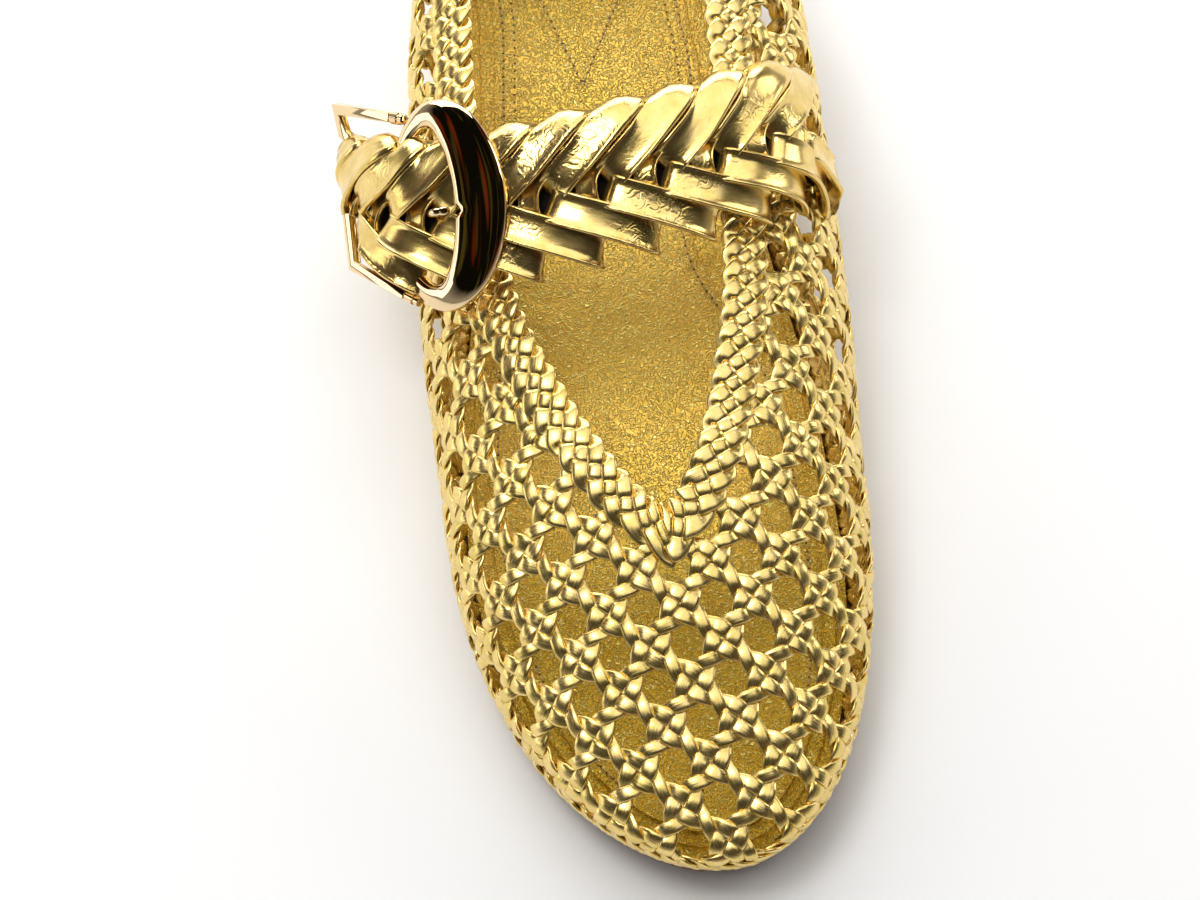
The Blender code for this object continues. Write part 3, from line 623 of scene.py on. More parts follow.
def polished_metal(name, colour, roughness=0.05):
    """Plated metal with faint polishing marks."""
    material, tree, shader = fresh_material(name)
    place = place_on(tree)
    smear = noise(tree, place, 120.0, 3.0, 0.6)
    cloud = between(tree, smear, 0.3, 0.7)
    set_inputs(shader, {
        "Base Color": mixed(tree, cloud, tint(colour, 0.96), tint(colour, 1.03)),
        "Roughness": between(tree, smear, 0.35, 0.75, roughness * 0.7, roughness * 1.6),
        "Metallic": 1.0,
        "Normal": bump(tree, noise(tree, place, 60.0, 1.0), 0.02 * MM, 0.3),
    })
    return material


def plain_leather(name, colour, roughness=0.55):
    """Dark leather: layered edges, pores and light scuffs."""
    material, tree, shader = fresh_material(name)
    place = place_on(tree)
    layers = noise(tree, stretched(tree, place, (0.15, 0.15, 6.0)), 300.0, 3.0, 0.6)
    scuff = noise(tree, place, 35.0, 4.0, 0.65)
    # On this leather the mask marks real wear only: lighter scuffs
    layered, wear_and_highlight = between(tree, layers, 0.35, 0.65), between(tree, scuff, 0.58, 0.72)
    base = mixed(tree, layered, tint(colour, 0.75), tint(colour, 1.25))
    height = math_node(tree, "ADD", noise(tree, place, 1500.0, 3.0, 0.7), layers)
    set_inputs(shader, {
        "Base Color": mixed(tree, wear_and_highlight, base, tint(colour, 1.9)),
        "Roughness": between(tree, scuff, 0.3, 0.7, roughness - 0.1, roughness + 0.15),
        "Specular IOR Level": 0.5 if colour[0] > 0.05 else 0.05,
        "Normal": bump(tree, height, 0.06 * MM, 0.6),
    })
    return material


def thread_finish(name, colour):
    material, tree, shader = fresh_material(name)
    ply = noise(tree, place_on(tree), 1800.0, 2.0)
    set_inputs(shader, {
        "Base Color": mixed(tree, ply, tint(colour, 0.7), tint(colour, 1.2)),
        "Roughness": 0.6,
        "Normal": bump(tree, ply, 0.05 * MM, 0.6),
    })
    return material


MADE = {}


def finish_named(name, maker, *facts):
    """A material made once and shared by the pieces that wear it."""
    if name not in MADE:
        MADE[name] = maker(name, *facts)
    return MADE[name]


# ---------------------------------------------------------------- mesh work

# Sections of strips, as parts of half the width and half the thickness
STRIP_SECTION = (
    (-1.0, -0.3), (-0.98, 0.35), (-0.84, 0.78), (-0.45, 0.95), (0.0, 1.02), (0.45, 0.95),
    (0.84, 0.78), (0.98, 0.35), (1.0, -0.3), (0.62, -0.85), (-0.62, -0.85),
)
# A folded strip of the strap: dished between two raised, rounded edges
FOLDED_SECTION = (
    (-1.0, 0.0), (-0.99, 0.62), (-0.93, 0.92), (-0.86, 0.98), (-0.78, 0.78), (-0.68, 0.55),
    (-0.4, 0.42), (0.0, 0.38), (0.4, 0.42), (0.68, 0.55), (0.78, 0.78), (0.86, 0.98),
    (0.93, 0.92), (0.99, 0.62), (1.0, 0.0), (0.9, -0.75), (0.5, -0.95), (-0.5, -0.95),
    (-0.9, -0.75),
)
# The ring's bar, as parts of half its width and of its thickness
RING_PROFILE = (
    (-1.0, 0.08), (-1.0, 0.40), (-0.93, 0.62), (-0.78, 0.80), (-0.5, 0.93), (-0.18, 0.99),
    (0.18, 0.99), (0.5, 0.93), (0.78, 0.80), (0.93, 0.62), (1.0, 0.40), (1.0, 0.08),
    (0.93, 0.0), (0.4, -0.04), (-0.4, -0.04), (-0.93, 0.0),
)


def linked(name, data):
    """A new object in the scene."""
    made = bpy.data.objects.new(name, data)
    bpy.context.scene.collection.objects.link(made)
    return made


def ring_quads(count, width, closed=False):
    """The faces between neighbouring rings: their corners, ring, place and next place."""
    i, j = np.divmod(np.arange((count - 1 + closed) * width), width)
    k, after = (j + 1) % width, (i + 1) % count
    corners = (i * width + j, i * width + k, after * width + k, after * width + j)
    return np.stack(corners, axis=-1), i, j, k


def loft(name, rings, closed=False, sharp=40, weld=0.0):
    """A smooth solid through rings: closed up as a tube, or capped at its two ends."""
    count, width = len(rings), len(rings[0])
    faces = ring_quads(count, width, closed)[0].tolist()
    if not closed:
        faces += [list(range(width)), list(range((count - 1) * width, count * width))]
    mesh = bpy.data.meshes.new(name)
    mesh.from_pydata([tuple(point) for ring in rings for point in ring], [], faces)
    shape = bmesh.new()
    shape.from_mesh(mesh)
    if weld:
        bmesh.ops.remove_doubles(shape, verts=shape.verts, dist=weld)
    bmesh.ops.recalc_face_normals(shape, faces=shape.faces)
    shape.to_mesh(mesh)
    shape.free()
    mesh.shade_smooth()
    mesh.set_sharp_from_angle(angle=math.radians(sharp))
    return linked(name, mesh)


def strip_rings(path, half_width, half_thickness, section, side=None, roll=0.0):
    """The rings of points of one strip along a path, in flat coordinates."""
    along = unit(np.gradient(path, axis=0))
    if side is None:
        side = np.stack([along[:, 1], -along[:, 0], np.zeros(len(along))], axis=-1)
    side = np.broadcast_to(side, along.shape)
    side = unit(side - along * np.sum(side * along, axis=1, keepdims=True))
    up = np.cross(side, along)
    roll = np.broadcast_to(roll, len(path))[:, None]
    side, up = side * np.cos(roll) + up * np.sin(roll), up * np.cos(roll) - side * np.sin(roll)
    shape = np.array(section)
    wide, thick = (
        np.broadcast_to(half, len(path))[:, None, None] for half in (half_width, half_thickness)
    )
    flat, high = shape[None, :, :1], shape[None, :, 1:]
    return path[:, None] + side[:, None] * flat * wide + up[:, None] * high * thick


# How long a metre of strip is in its texture, and how far on the next strip starts in it
RUN_SCALE = 100
RUN_SHIFT = 3.7


def strips_object(name, strips, place, section):
    """One mesh of many closed strips, each a stack of rings, laid by a function."""
    width = len(section)
    counts = [len(rings) for rings in strips]
    points = place(np.concatenate([rings.reshape(-1, 3) for rings in strips]))
    around = np.linspace(0, 1, width, endpoint=False)
    faces, mapped, first = [], [], 0
    for number, (rings, count) in enumerate(zip(strips, counts)):
        laid = points[first : first + count * width].reshape(count, width, 3)
        run = run_along(laid.mean(axis=1)) * RUN_SCALE + number * RUN_SHIFT
        quads, i, j, k = ring_quads(count, width)
        ends = np.where(k == 0, 1.0, around[k])
        places = ((i, around[j]), (i, ends), (i + 1, ends), (i + 1, around[j]))
        here = np.stack([np.stack([run[at], turn], axis=-1) for at, turn in places], axis=1)
        middle = laid[count // 2].mean(axis=0)
        a, b, c = (laid.reshape(-1, 3)[quads[:, n]] - middle for n in range(3))
        caps = [np.arange(width)[::-1], (count - 1) * width + np.arange(width)]
        if np.einsum("ij,ij->i", a, np.cross(b, c)).sum() < 0:
            quads, here = quads[:, ::-1], here[:, ::-1]
            caps = [cap[::-1] for cap in caps]
        faces.extend((quads + first).tolist())
        mapped.append(here.reshape(-1, 2))
        for cap, at in zip(caps, (run[0], run[-1])):
            faces.append((cap + first).tolist())
            mapped.append(np.stack([np.full(width, at), around[cap % width]], axis=-1))
        first += count * width
    mesh = bpy.data.meshes.new(name)
    mesh.from_pydata(points.tolist(), [], faces)
    layer = mesh.uv_layers.new(name="strip")
    layer.data.foreach_set("uv", np.concatenate(mapped).ravel().astype(np.float32))
    mesh.shade_smooth()
    return linked(name, mesh)


def finished(made, material, replaces=()):
    """Gives a piece its material and its place on the shoe."""
    made.data.materials.clear()
    made.data.materials.append(material)
    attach(made, "root")
    if replaces:
        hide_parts(*replaces)


def nothing_selected():
    if bpy.context.mode != "OBJECT":
        bpy.ops.object.mode_set(mode="OBJECT")
    bpy.ops.object.select_all(action="DESELECT")


def eased(value):
    value = np.clip(value, 0, 1)
    return value * value * (3 - 2 * value)


def distance_to_line(points, line):
    """Least distance of each flat point to a line of points."""
    start, step = line[:-1], np.diff(line, axis=0)
    offset = points[:, None] - start[None]
    part = np.clip((offset * step).sum(-1) / (step * step).sum(-1), 0, 1)
    return np.linalg.norm(offset - part[..., None] * step, axis=-1).min(axis=1)


# ---------------------------------------------------------------- the open weave


def room_on_pattern(points):
    """For flat points: how far outside the opening, and how far inside the feather edge."""
    toplines = {side: topline(side) for side in (-1, 1)}
    turns = np.linspace(0, math.pi / 2, 60)
    x, y = points.T
    opening, edge = np.empty(len(points)), np.empty(len(points))
    whole = both_sides(toplines[-1], toplines[1])
    for side in (-1, 1):
        mine = (x < 0) if side < 0 else (x >= 0)
        if not mine.any():
            continue
        line = toplines[side]
        far = distance_to_line(points[mine], whole)
        inside = np.abs(x[mine]) < np.interp(y[mine], line[:, 1], np.abs(line[:, 0]), right=-1)
        opening[mine] = np.where(inside, -far, far)
        stations = np.linspace(SEAM_STATION, BALL_CENTRE, 60)
        leg = np.interp(y[mine], stations, feather_distance(side, stations)) - np.abs(x[mine])
        reach = feather_distance(side, turns, turns)
        turn = np.arctan2(np.abs(x[mine]), np.maximum(y[mine] - BALL_CENTRE, 1e-9))
        toe = np.interp(turn, turns, reach) - np.hypot(x[mine], y[mine] - BALL_CENTRE)
        edge[mine] = np.where(y[mine] > BALL_CENTRE, toe, leg)
    return opening, edge


# Lines of the weave to each side of its middle one, and the field that they are tried over
WEAVE_LINES = 26
FIELD_HALF = 0.12
FIELD_TOP = 0.30
# Where the strips end under the collar and the rand, and how they dip under them
STRIP_ENDS = (5.0 * MM, 1.5 * MM)
TUCK_MARGINS = (1.0 * MM, 0.5 * MM)
TUCK_RUN = 3 * MM
TUCK_DEPTH = 0.5 * MM
SHORTEST_STRIP = 5
# How quickly a strip changes lane and height: the lower, the squarer its wave
LANE_FIRMNESS = 0.9
HEIGHT_FLATNESS = 0.6
PLAIT_FLATNESS = 0.7
PLAIT_SHARPNESS = 0.955
PLAIT_SECTIONS = 44
WEAVE_BASE = 0.15 * MM
# Unevenness of hand work: the strips' roll, the lengths over which it comes and goes, the
# share by which their widths differ, and a full turn
ROLL = 0.10
WEAVE_ROLL_RUN = 5.3 * MM
PLAIT_ROLL_RUN = 6.1 * MM
PLAIT_SWELL_RUN = 9 * MM
UNEVEN = 0.05
TURN = 6.28


def flattened(wave, flatness):
    """A wave of the same reach with flatter crests and steeper flanks."""
    return wave * math.hypot(1, flatness) / np.hypot(wave, flatness)


def woven_family(way, weave, plaits):
    """The strips of every line of the weave that runs toward one side."""
    link = math.hypot(CELL_ACROSS, CELL_ALONG)
    along = np.array([way * CELL_ACROSS, CELL_ALONG]) / link
    offset = np.array([-way * CELL_ACROSS, CELL_ALONG])
    lane_way = -way * offset / link
    wave = 2 * link / 3
    chance = np.random.default_rng(7 + way)
    t = np.arange(-WEAVE_LINES * link, WEAVE_LINES * link, link / weave.samples)
    strips = []
    for line in range(-WEAVE_LINES, WEAVE_LINES + 1):
        for strand in (0, 1):
            swing = np.cos(math.pi * (t / link - strand))
            lane = flattened(swing, LANE_FIRMNESS)
            flat = np.array([0, CELL_STATION]) + line * offset + t[:, None] * along
            flat = flat + lane_way * (lane * weave.lane)[:, None]
            across, station = flat.T
            near = (np.abs(across) < FIELD_HALF) & (station > SEAM_STATION) & (station < FIELD_TOP)
            if not near.any():
                continue
            flat, times, turned = flat[near], t[near], swing[near]
            opening, edge = room_on_pattern(flat)
            kept = (opening > STRIP_ENDS[0]) & (edge > STRIP_ENDS[1])
            height = np.cos(2 * math.pi * (times - strand * link + weave.lane) / wave)
            height = flattened(height, HEIGHT_FLATNESS)
            starts = np.flatnonzero(np.diff(np.concatenate([[0], kept.astype(int), [0]])))
            for low, high in starts.reshape(-1, 2):
                if high - low < SHORTEST_STRIP:
                    continue
                part = slice(low, high)
                under = (
                    plaits.collar_width + TUCK_MARGINS[0] - opening[part],
                    plaits.rand_width + TUCK_MARGINS[1] - edge[part],
                )
                tucked = np.maximum(*(eased(depth / TUCK_RUN) for depth in under))
                lift = WEAVE_BASE + weave.rise * height[part]
                lift = lift * (1 - tucked) - TUCK_DEPTH * tucked
                path = np.concatenate([flat[part], lift[:, None]], axis=1)
                half = weave.waist + (weave.width - weave.waist) * turned[part] ** 2
                half = half / 2 * (1 + chance.uniform(-UNEVEN, UNEVEN))
                roll = ROLL * np.sin(times[part] / WEAVE_ROLL_RUN + chance.uniform(0, TURN))
                roll = roll + chance.uniform(-UNEVEN, UNEVEN)
                thick = weave.thickness / 2
                strips.append(strip_rings(path, half, thick, STRIP_SECTION, roll=roll))
    return strips


class FLAT_OT_weave(Operator):
    """Weave the upper's pairs of strips, over and under each other, round the last"""

    bl_idname = "flat.weave"
    bl_label = "Weave the upper"

    def execute(self, context):
        scene = context.scene
        leather = scene.flat_leather
        foil = finish_named("woven_foil", strip_foil, leather.weave_colour, 0.24)
        for way, name in ((1, "weave_to_medial"), (-1, "weave_to_lateral")):
            strips = woven_family(way, scene.flat_weave, scene.flat_plaits)
            made = strips_object(name, strips, on_last, STRIP_SECTION)
            finished(made, foil, ("upper",))
        return {"FINISHED"}


# ---------------------------------------------------------------- plaits


def plaited(length, width, strands, repeat, strand_width, thickness, rise, base, seed):
    """The strips of a flat plait, in coordinates along, across and over it."""
    chance = np.random.default_rng(seed)
    repeat = length / max(1, round(length / repeat))
    travel = (width - strand_width) / 2
    step = repeat / PLAIT_SECTIONS
    along = np.arange(0, length + step / 2, step)
    strips = []
    for strand in range(strands):
        phase = along / repeat + strand / strands
        swing = PLAIT_SHARPNESS * np.cos(2 * math.pi * phase)
        across = width / 2 - travel * np.arcsin(swing) / math.asin(PLAIT_SHARPNESS)
        # Where the strand is between the crossings of its half of the plait
        turn = phase % 1
        place = (turn * 2 % 1) * strands
        sign = np.where((turn >= 0.5) & (strands % 2 == 0), -1.0, 1.0)
        height = -sign * np.cos(math.pi * place)
        height = np.where(place < 1, sign * np.sin(math.pi / 2 * place), height)
        late = sign * (-1) ** strands * np.sin(math.pi / 2 * (strands - place))
        height = np.where(place > strands - 1, late, height)
        lift = base + rise * flattened(height, PLAIT_FLATNESS)
        path = np.stack([along, across, lift], axis=-1)
        roll = ROLL * np.sin(along / PLAIT_ROLL_RUN + chance.uniform(0, TURN))
        swell = UNEVEN * np.sin(along / PLAIT_SWELL_RUN + chance.uniform(0, TURN))
        half = strand_width / 2 * (1 + swell)
        strips.append(strip_rings(path, half, thickness / 2, STRIP_SECTION, roll=roll))
    return strips


def banded(near, far, spacing=0.6 * MM):
    """Two matched flat lines resampled evenly by the length between them on the last."""
    middle = (near + far) / 2
    run = run_along(on_last(np.concatenate([middle, np.zeros((len(middle), 1))], axis=1)))
    at = np.linspace(0, run[-1], int(run[-1] / spacing))
    return at, read_at(at, run, near), read_at(at, run, far)


def plait_on_band(name, band, width, *facts):
    """A plait laid along a band of the last."""
    at, *lines = band

    def on_band(points):
        near, far = (read_at(points[:, 0], at, line) for line in lines)
        flat = near + (far - near) * points[:, 1:2] / width
        return on_last(np.concatenate([flat, points[:, 2:3]], axis=1))

    strips = plaited(float(at[-1]), width, *facts)
    return strips_object(name, strips, on_band, STRIP_SECTION)


# The plaits along the sole and up the back
EDGE_STRANDS = 4
EDGE_REPEAT = 16 * MM
RAND_INSET = 0.4 * MM
BACKSTAY_WIDTH = 9.0 * MM
BACKSTAY_LAP = 2 * MM
BACKSTAY_DRAW = 0.92
# Each plait's thickness, its rise, its height over the last, and the seed of its unevenness
COLLAR_BUILD = (1.1 * MM, 0.60 * MM, 0.6 * MM, 3)
RAND_BUILD = (1.05 * MM, 0.52 * MM, 0.35 * MM, 5)
BACKSTAY_BUILD = (1.3 * MM, 0.52 * MM, 0.75 * MM, 9)


class FLAT_OT_plaits(Operator):
    """Plait the collar round the opening, the rand along the sole and the backstay"""

    bl_idname = "flat.plaits"
    bl_label = "Plait the edges"

    def execute(self, context):
        plaits = context.scene.flat_plaits
        leather = context.scene.flat_leather
        foil = finish_named("woven_foil", strip_foil, leather.weave_colour, 0.24)
        near_lines, far_lines = [], []
        for side in (-1, 1):
            far, on_its_side = moved_out(side, plaits.collar_width)
            near_lines.append(topline(side)[on_its_side])
            far_lines.append(far[on_its_side])
        band = banded(both_sides(*near_lines), both_sides(*far_lines))
        made = plait_on_band(
            "collar_plait", band, plaits.collar_width, plaits.collar_strands,
            plaits.collar_repeat, plaits.collar_strand_width, *COLLAR_BUILD,
        )
        finished(made, foil)
        feather = both_sides(feather_edge(-1), feather_edge(1))
        inward = square_to(feather)
        far = feather + inward * RAND_INSET
        near = feather + inward * (RAND_INSET + plaits.rand_width)
        made = plait_on_band(
            "rand_plait", banded(near, far), plaits.rand_width, EDGE_STRANDS,
            EDGE_REPEAT, plaits.strand_width, *RAND_BUILD,
        )
        finished(made, foil)
        high = TOPLINE_ROWS[0][1] * MM + plaits.collar_width - BACKSTAY_LAP
        low = float(feather_distance(-1, np.array([SEAM_STATION]))[0])
        low += BACKSTAY_LAP - plaits.rand_width

        def on_back(points):
            run, across, lift = points.T
            across = across - BACKSTAY_WIDTH / 2
            flat_x = np.where(across < 0, -1, 1) * (high + run)
            station = SEAM_STATION + np.abs(across) * BACKSTAY_DRAW
            return on_last(np.stack([flat_x, station, lift], axis=-1))

        strips = plaited(
            low - high, BACKSTAY_WIDTH, EDGE_STRANDS, EDGE_REPEAT, plaits.strand_width,
            *BACKSTAY_BUILD,
        )
        made = strips_object("backstay_plait", strips, on_back, STRIP_SECTION)
        finished(made, foil)
        return {"FINISHED"}


# ---------------------------------------------------------------- the strap


def smooth_path(corners, spacing=0.7 * MM):
    """A smooth path through corner points, evenly sampled."""
    curve = spline(np.array(corners, float), 16)
    run = run_along(curve)
    return read_at(np.linspace(0, run[-1], max(6, int(run[-1] / spacing))), run, curve)


# How far a folded strip's rings follow its path's turns, and how far they widen aslant
PATH_SHARE = 0.25
WIDEST_MITRE = 0.4
EDGE_HUMP = 2.4 * MM


def folded_rings(path, width, thickness, roll, slant):
    """The rings of a strip of the strap; slant turns its rings level with the strap's edge."""
    way = unit(np.gradient(path[:, :2], axis=0))
    turned = len(path) // 2
    way = unit(way[turned] + PATH_SHARE * (way - way[turned]))
    square = np.stack([way[:, 1], -way[:, 0]], axis=-1)
    level = np.array([np.sign(square[turned, 0]), 0.0])
    side = unit(square + (level - square) * slant[:, None])
    half = width / 2 / np.maximum(np.abs(np.sum(side * square, axis=1)), WIDEST_MITRE)
    side = np.concatenate([side, np.zeros((len(path), 1))], axis=1)
    along = unit(np.gradient(path, axis=0))
    up = unit(np.cross(side, along))
    leaned = side * math.cos(roll) + np.array([0, 0, 1.0]) * math.sin(roll)
    shape = np.array(FOLDED_SECTION)
    flat, high = shape[None, :, :1], shape[None, :, 1:]
    rings = path[:, None] + leaned[:, None] * flat * half[:, None, None]
    rings = rings + up[:, None] * high * thickness / 2
    # Each fold at the strap's edge is a rounded hump
    rings[..., 1] -= EDGE_HUMP * (1 - shape[None, :, 0] ** 2) * slant[:, None]
    return rings


# Corners of the folded strips: from their hole along the strap, across it and over it (mm)
UPPER_FOLD = (
    (-16.0, -9.6, -3.0), (-18.4, -13.2, -3.3), (-19.6, -15.0, -2.2), (-18.9, -14.2, -0.4),
    (-15.4, -11.7, 1.0), (-9.4, -7.2, 1.8), (-4.2, -3.4, 1.5), (-2.2, -1.9, 0.7),
    (-0.4, -0.6, -0.9),
)
LOWER_FOLD = (
    (0.3, 1.7, -1.3), (-0.3, 2.1, 0.1), (-1.7, 2.9, 1.2), (-6.4, 5.5, 1.7), (-12.0, 8.6, 1.3),
    (-17.6, 11.8, 0.0), (-20.6, 13.6, -1.6), (-21.2, 13.7, -2.8), (-18.6, 11.6, -3.2),
)
UNDER_STRIP = (
    (-3.0, -7.0, -1.6), (2.4, -3.4, -0.2), (4.2, 0.2, 0.2), (4.0, 4.0, -0.2), (2.0, 7.6, -1.6)
)
UNDER_WIDTH = 5.0 * MM
# Where an upper strip's rings start to turn level with the strap's edge, and over what width
SLANT_RUN = (6.0, 6.0)
# Toward the lateral end: where the strap sinks and where it narrows, and over what length,
# and where it ends (mm)
LATERAL_SINK = 2.0 * MM
SINK_RUN = (100, 18)
NARROWING = 0.12
NARROW_RUN = (96, 20)
END_RUN = 125
END_TAPER = 0.75
HEEL_SIDE = (-5, 7)
HEEL_SIDE_MORE = 27
LATERAL_BEND = 3
LATERAL_TURN = 1.8
LATERAL_DROP = 3.2 * MM
MEDIAL_TURN = 2.5 * MM
MEDIAL_DROP = 2.2 * MM
# A strip is left out if it would lie mostly past either end of the strap (mm, m)
MOST_OVER = 8
LEAST_RUN = 1 * MM
LINING_DEPTH = 2.4 * MM
LINING_HALF = 9.5 * MM
LINING_TAPER = 4 * MM
LINING_TAPER_RUN = (108, 10)
# The lining's near-black colour is painted shade, standing in for the shadow in the strap's holes
LINING_SHADE_COLOUR = (0.012, 0.007, 0.004)


def eased_over(place, start, length):
    """How far places are along a stretch (mm), eased from 0 to 1."""
    return eased((place / MM - start) / length)


def strap_strips(strap):
    """The folded strips of the herringbone braid, in the strap's coordinates."""
    strips = []
    for corners, width, roll, slanted in (
        (UPPER_FOLD, strap.upper_width, -0.08, True),
        (LOWER_FOLD, strap.lower_width, 0.09, False),
        (UNDER_STRIP, UNDER_WIDTH, -0.25, False),
    ):
        for number in range(-1, CHEVRONS + 2):
            moved = np.array(corners) + (strap_hole_run(number) / MM, 0, 0)
            path = smooth_path(moved * MM)
            path = path[(path[:, 0] > -MOST_OVER * MM) & (path[:, 0] < STRAP_LENGTH + 3 * MM)]
            if len(path) < SHORTEST_STRIP + 1:
                continue
            slant = eased_over(-path[:, 1], *SLANT_RUN) if slanted else np.zeros(len(path))
            rings = folded_rings(path, width, strap.strip_thickness, roll, slant)
            run, wide = rings[..., 0], rings[..., 1]
            rings[..., 2] -= LATERAL_SINK * eased_over(run, *SINK_RUN)
            wide -= np.maximum(wide, 0) * (NARROWING * eased_over(run, *NARROW_RUN))
            # The strap's lateral end tapers on its toe side, and turns in
            limit = END_RUN - END_TAPER * np.maximum(wide / MM, 0)
            limit = limit + HEEL_SIDE_MORE * (1 - eased_over(wide, *HEEL_SIDE))
            over = np.maximum(run / MM - limit, 0)
            if over.mean() > MOST_OVER:
                continue
            turned_in = 1 - np.exp(-over / LATERAL_BEND)
            run -= (over - LATERAL_TURN * turned_in) * MM
            rings[..., 2] -= LATERAL_DROP * turned_in
            if run.mean() < LEAST_RUN:
                continue
            # Its medial end turns in too
            past = 1 - np.exp(np.minimum(run, 0) / MEDIAL_TURN)
            rings[..., 0] = np.maximum(run, 0) - MEDIAL_TURN * past
            rings[..., 2] -= MEDIAL_DROP * past
            strips.append(rings)
    return strips


def lining_strips():
    """The strap's lining, seen through the holes between its strips, near black as painted shade.
    """
    run = np.arange(3 * MM, STRAP_LENGTH - 1 * MM, 1.5 * MM)
    sunk = LINING_DEPTH + LATERAL_SINK * eased_over(run, *SINK_RUN)
    taper = LINING_TAPER * eased_over(run, *LINING_TAPER_RUN)
    path = np.stack([run, -1.5 * taper, -sunk], axis=-1)
    return [strip_rings(path, LINING_HALF - taper, 0.5 * MM, STRIP_SECTION)]


class FLAT_OT_strap(Operator):
    """Braid the strap from folded strips in a herringbone"""

    bl_idname = "flat.strap"
    bl_label = "Braid the strap"

    def execute(self, context):
        leather = context.scene.flat_leather
        foil = finish_named("strap_foil", strip_foil, leather.strap_colour, 0.19, 0.9)
        strips = strap_strips(context.scene.flat_strap)
        made = strips_object("strap_braid", strips, on_strap, FOLDED_SECTION)
        finished(made, foil, ("strap",))
        # A real lining piece, its near-black colour painted shade for the holes between the strips
        dark = finish_named("strap_lining_leather", plain_leather, LINING_SHADE_COLOUR)
        made = strips_object("strap_lining", lining_strips(), on_strap, STRIP_SECTION)
        finished(made, dark)
        return {"FINISHED"}


# ---------------------------------------------------------------- the buckle

RING_STEPS = 144
NOTCH_ANGLE = -7
NOTCH_HALF_ANGLE = 5.0
NOTCH_DEPTH = 1.5 * MM
FRAME_HALF = 1.1 * MM
FRAME_BEVEL = 0.22 * MM
LEAST_MITRE = 0.3
# The hinge barrels: places along them and radii
HINGE_PROFILE = (
    (0.0, 0.9 * MM), (0.15 * MM, 1.15 * MM), (1.2 * MM, 1.2 * MM), (1.35 * MM, 0.95 * MM),
    (1.6 * MM, 0.95 * MM), (1.75 * MM, 1.35 * MM), (HINGE_LENGTH - 0.2 * MM, 1.35 * MM),
    (HINGE_LENGTH, 1.1 * MM),
)
# The prong: from its hole along the strap, and over it (mm), and its round tip
PRONG_ROWS = (
    (8.2, -4.8), (3.0, -4.2), (0.9, -3.4), (0.2, -2.0), (0.0, 0.0), (0.0, 2.3), (-1.3, 3.7),
    (-4.4, 4.2),
)
PRONG_RADIUS = 1.0 * MM
TIP_SWELL = 1.15
TIP_MIDDLE = 3.5
TIP_HALF = 4.2
CIRCLE = [(math.cos(a), math.sin(a)) for a in np.linspace(0, 2 * math.pi, 16, endpoint=False)]


def swept_bar(name, points, half, bevel):
    """A square bar through points, mitred at its corners and softened along its edges."""
    points = [Vector(point) for point in points]
    plane = (points[1] - points[0]).cross(points[-1] - points[0]).normalized()
    if plane.length < 0.5:
        plane = Vector((0, 0, 1))
    rings = []
    for i, point in enumerate(points):
        before = (point - points[i - 1]).normalized() if i else None
        after = (points[i + 1] - point).normalized() if i + 1 < len(points) else None
        if before is None or after is None:
            way = before or after
            side, stretch = way.cross(plane).normalized(), 1.0
        else:
            way = (before + after).normalized()
            side = way.cross(plane).normalized()
            stretch = 1 / max(before.dot(way), LEAST_MITRE)
        over = side.cross(way).normalized()
        rings.append([
            point + side * half * a * stretch + over * half * b
            for a, b in ((-1, -1), (1, -1), (1, 1), (-1, 1))
        ])
    made = loft(name, rings)
    nothing_selected()
    made.select_set(True)
    bpy.context.view_layer.objects.active = made
    modifier = made.modifiers.new("softened", "BEVEL")
    modifier.width = bevel
    modifier.segments = 3
    modifier.limit_method = "ANGLE"
    modifier.angle_limit = math.radians(30)
    bpy.ops.object.modifier_apply(modifier="softened")
    made.data.shade_smooth()
    made.data.set_sharp_from_angle(angle=math.radians(40))
    return made


def turned_piece(name, profile, start, end, segments=24):
    """A round piece turned about the line from start to end: places along it and radii."""
    turn = (end - start).normalized().to_track_quat("Z", "Y").to_matrix().to_4x4()
    laid = Matrix.Translation(start) @ turn
    turns = [2 * math.pi * i / segments for i in range(segments)]
    return loft(name, [
        [laid @ Vector((math.cos(a) * radius, math.sin(a) * radius, place)) for a in turns]
        for place, radius in profile
    ])


def choose_lit(light, names, state):
    """Light linking: the pieces that a light leaves out, or the only ones that it lights."""
    lit = bpy.data.collections.new(light + "_pieces")
    for piece in bpy.context.scene.objects:
        if piece.name.startswith(names):
            lit.objects.link(piece)
    for member in lit.collection_objects:
        member.light_linking.link_state = state
    bpy.context.scene.objects[light].light_linking.receiver_collection = lit


def ring_rings():
    """The sections of the buckle's ring, with the prong's notch in its broad bar."""
    for i in range(RING_STEPS):
        angle = 2 * math.pi * i / RING_STEPS
        turned = abs((math.degrees(angle) + 180) % 360 - 180) * MM
        half = float(column(RING, RING_ROWS, "width", turned)) / 2
        thick = float(column(RING, RING_ROWS, "thickness", turned))
        off = abs((math.degrees(angle) - NOTCH_ANGLE + 180) % 360 - 180)
        notch = NOTCH_DEPTH * max(0, 1 - off / NOTCH_HALF_ANGLE) ** 1.2
        yield [
            ring_point(angle, half * x + notch * max(0, -x) ** 3, thick * (z - 0.5))
            for x, z in RING_PROFILE
        ]


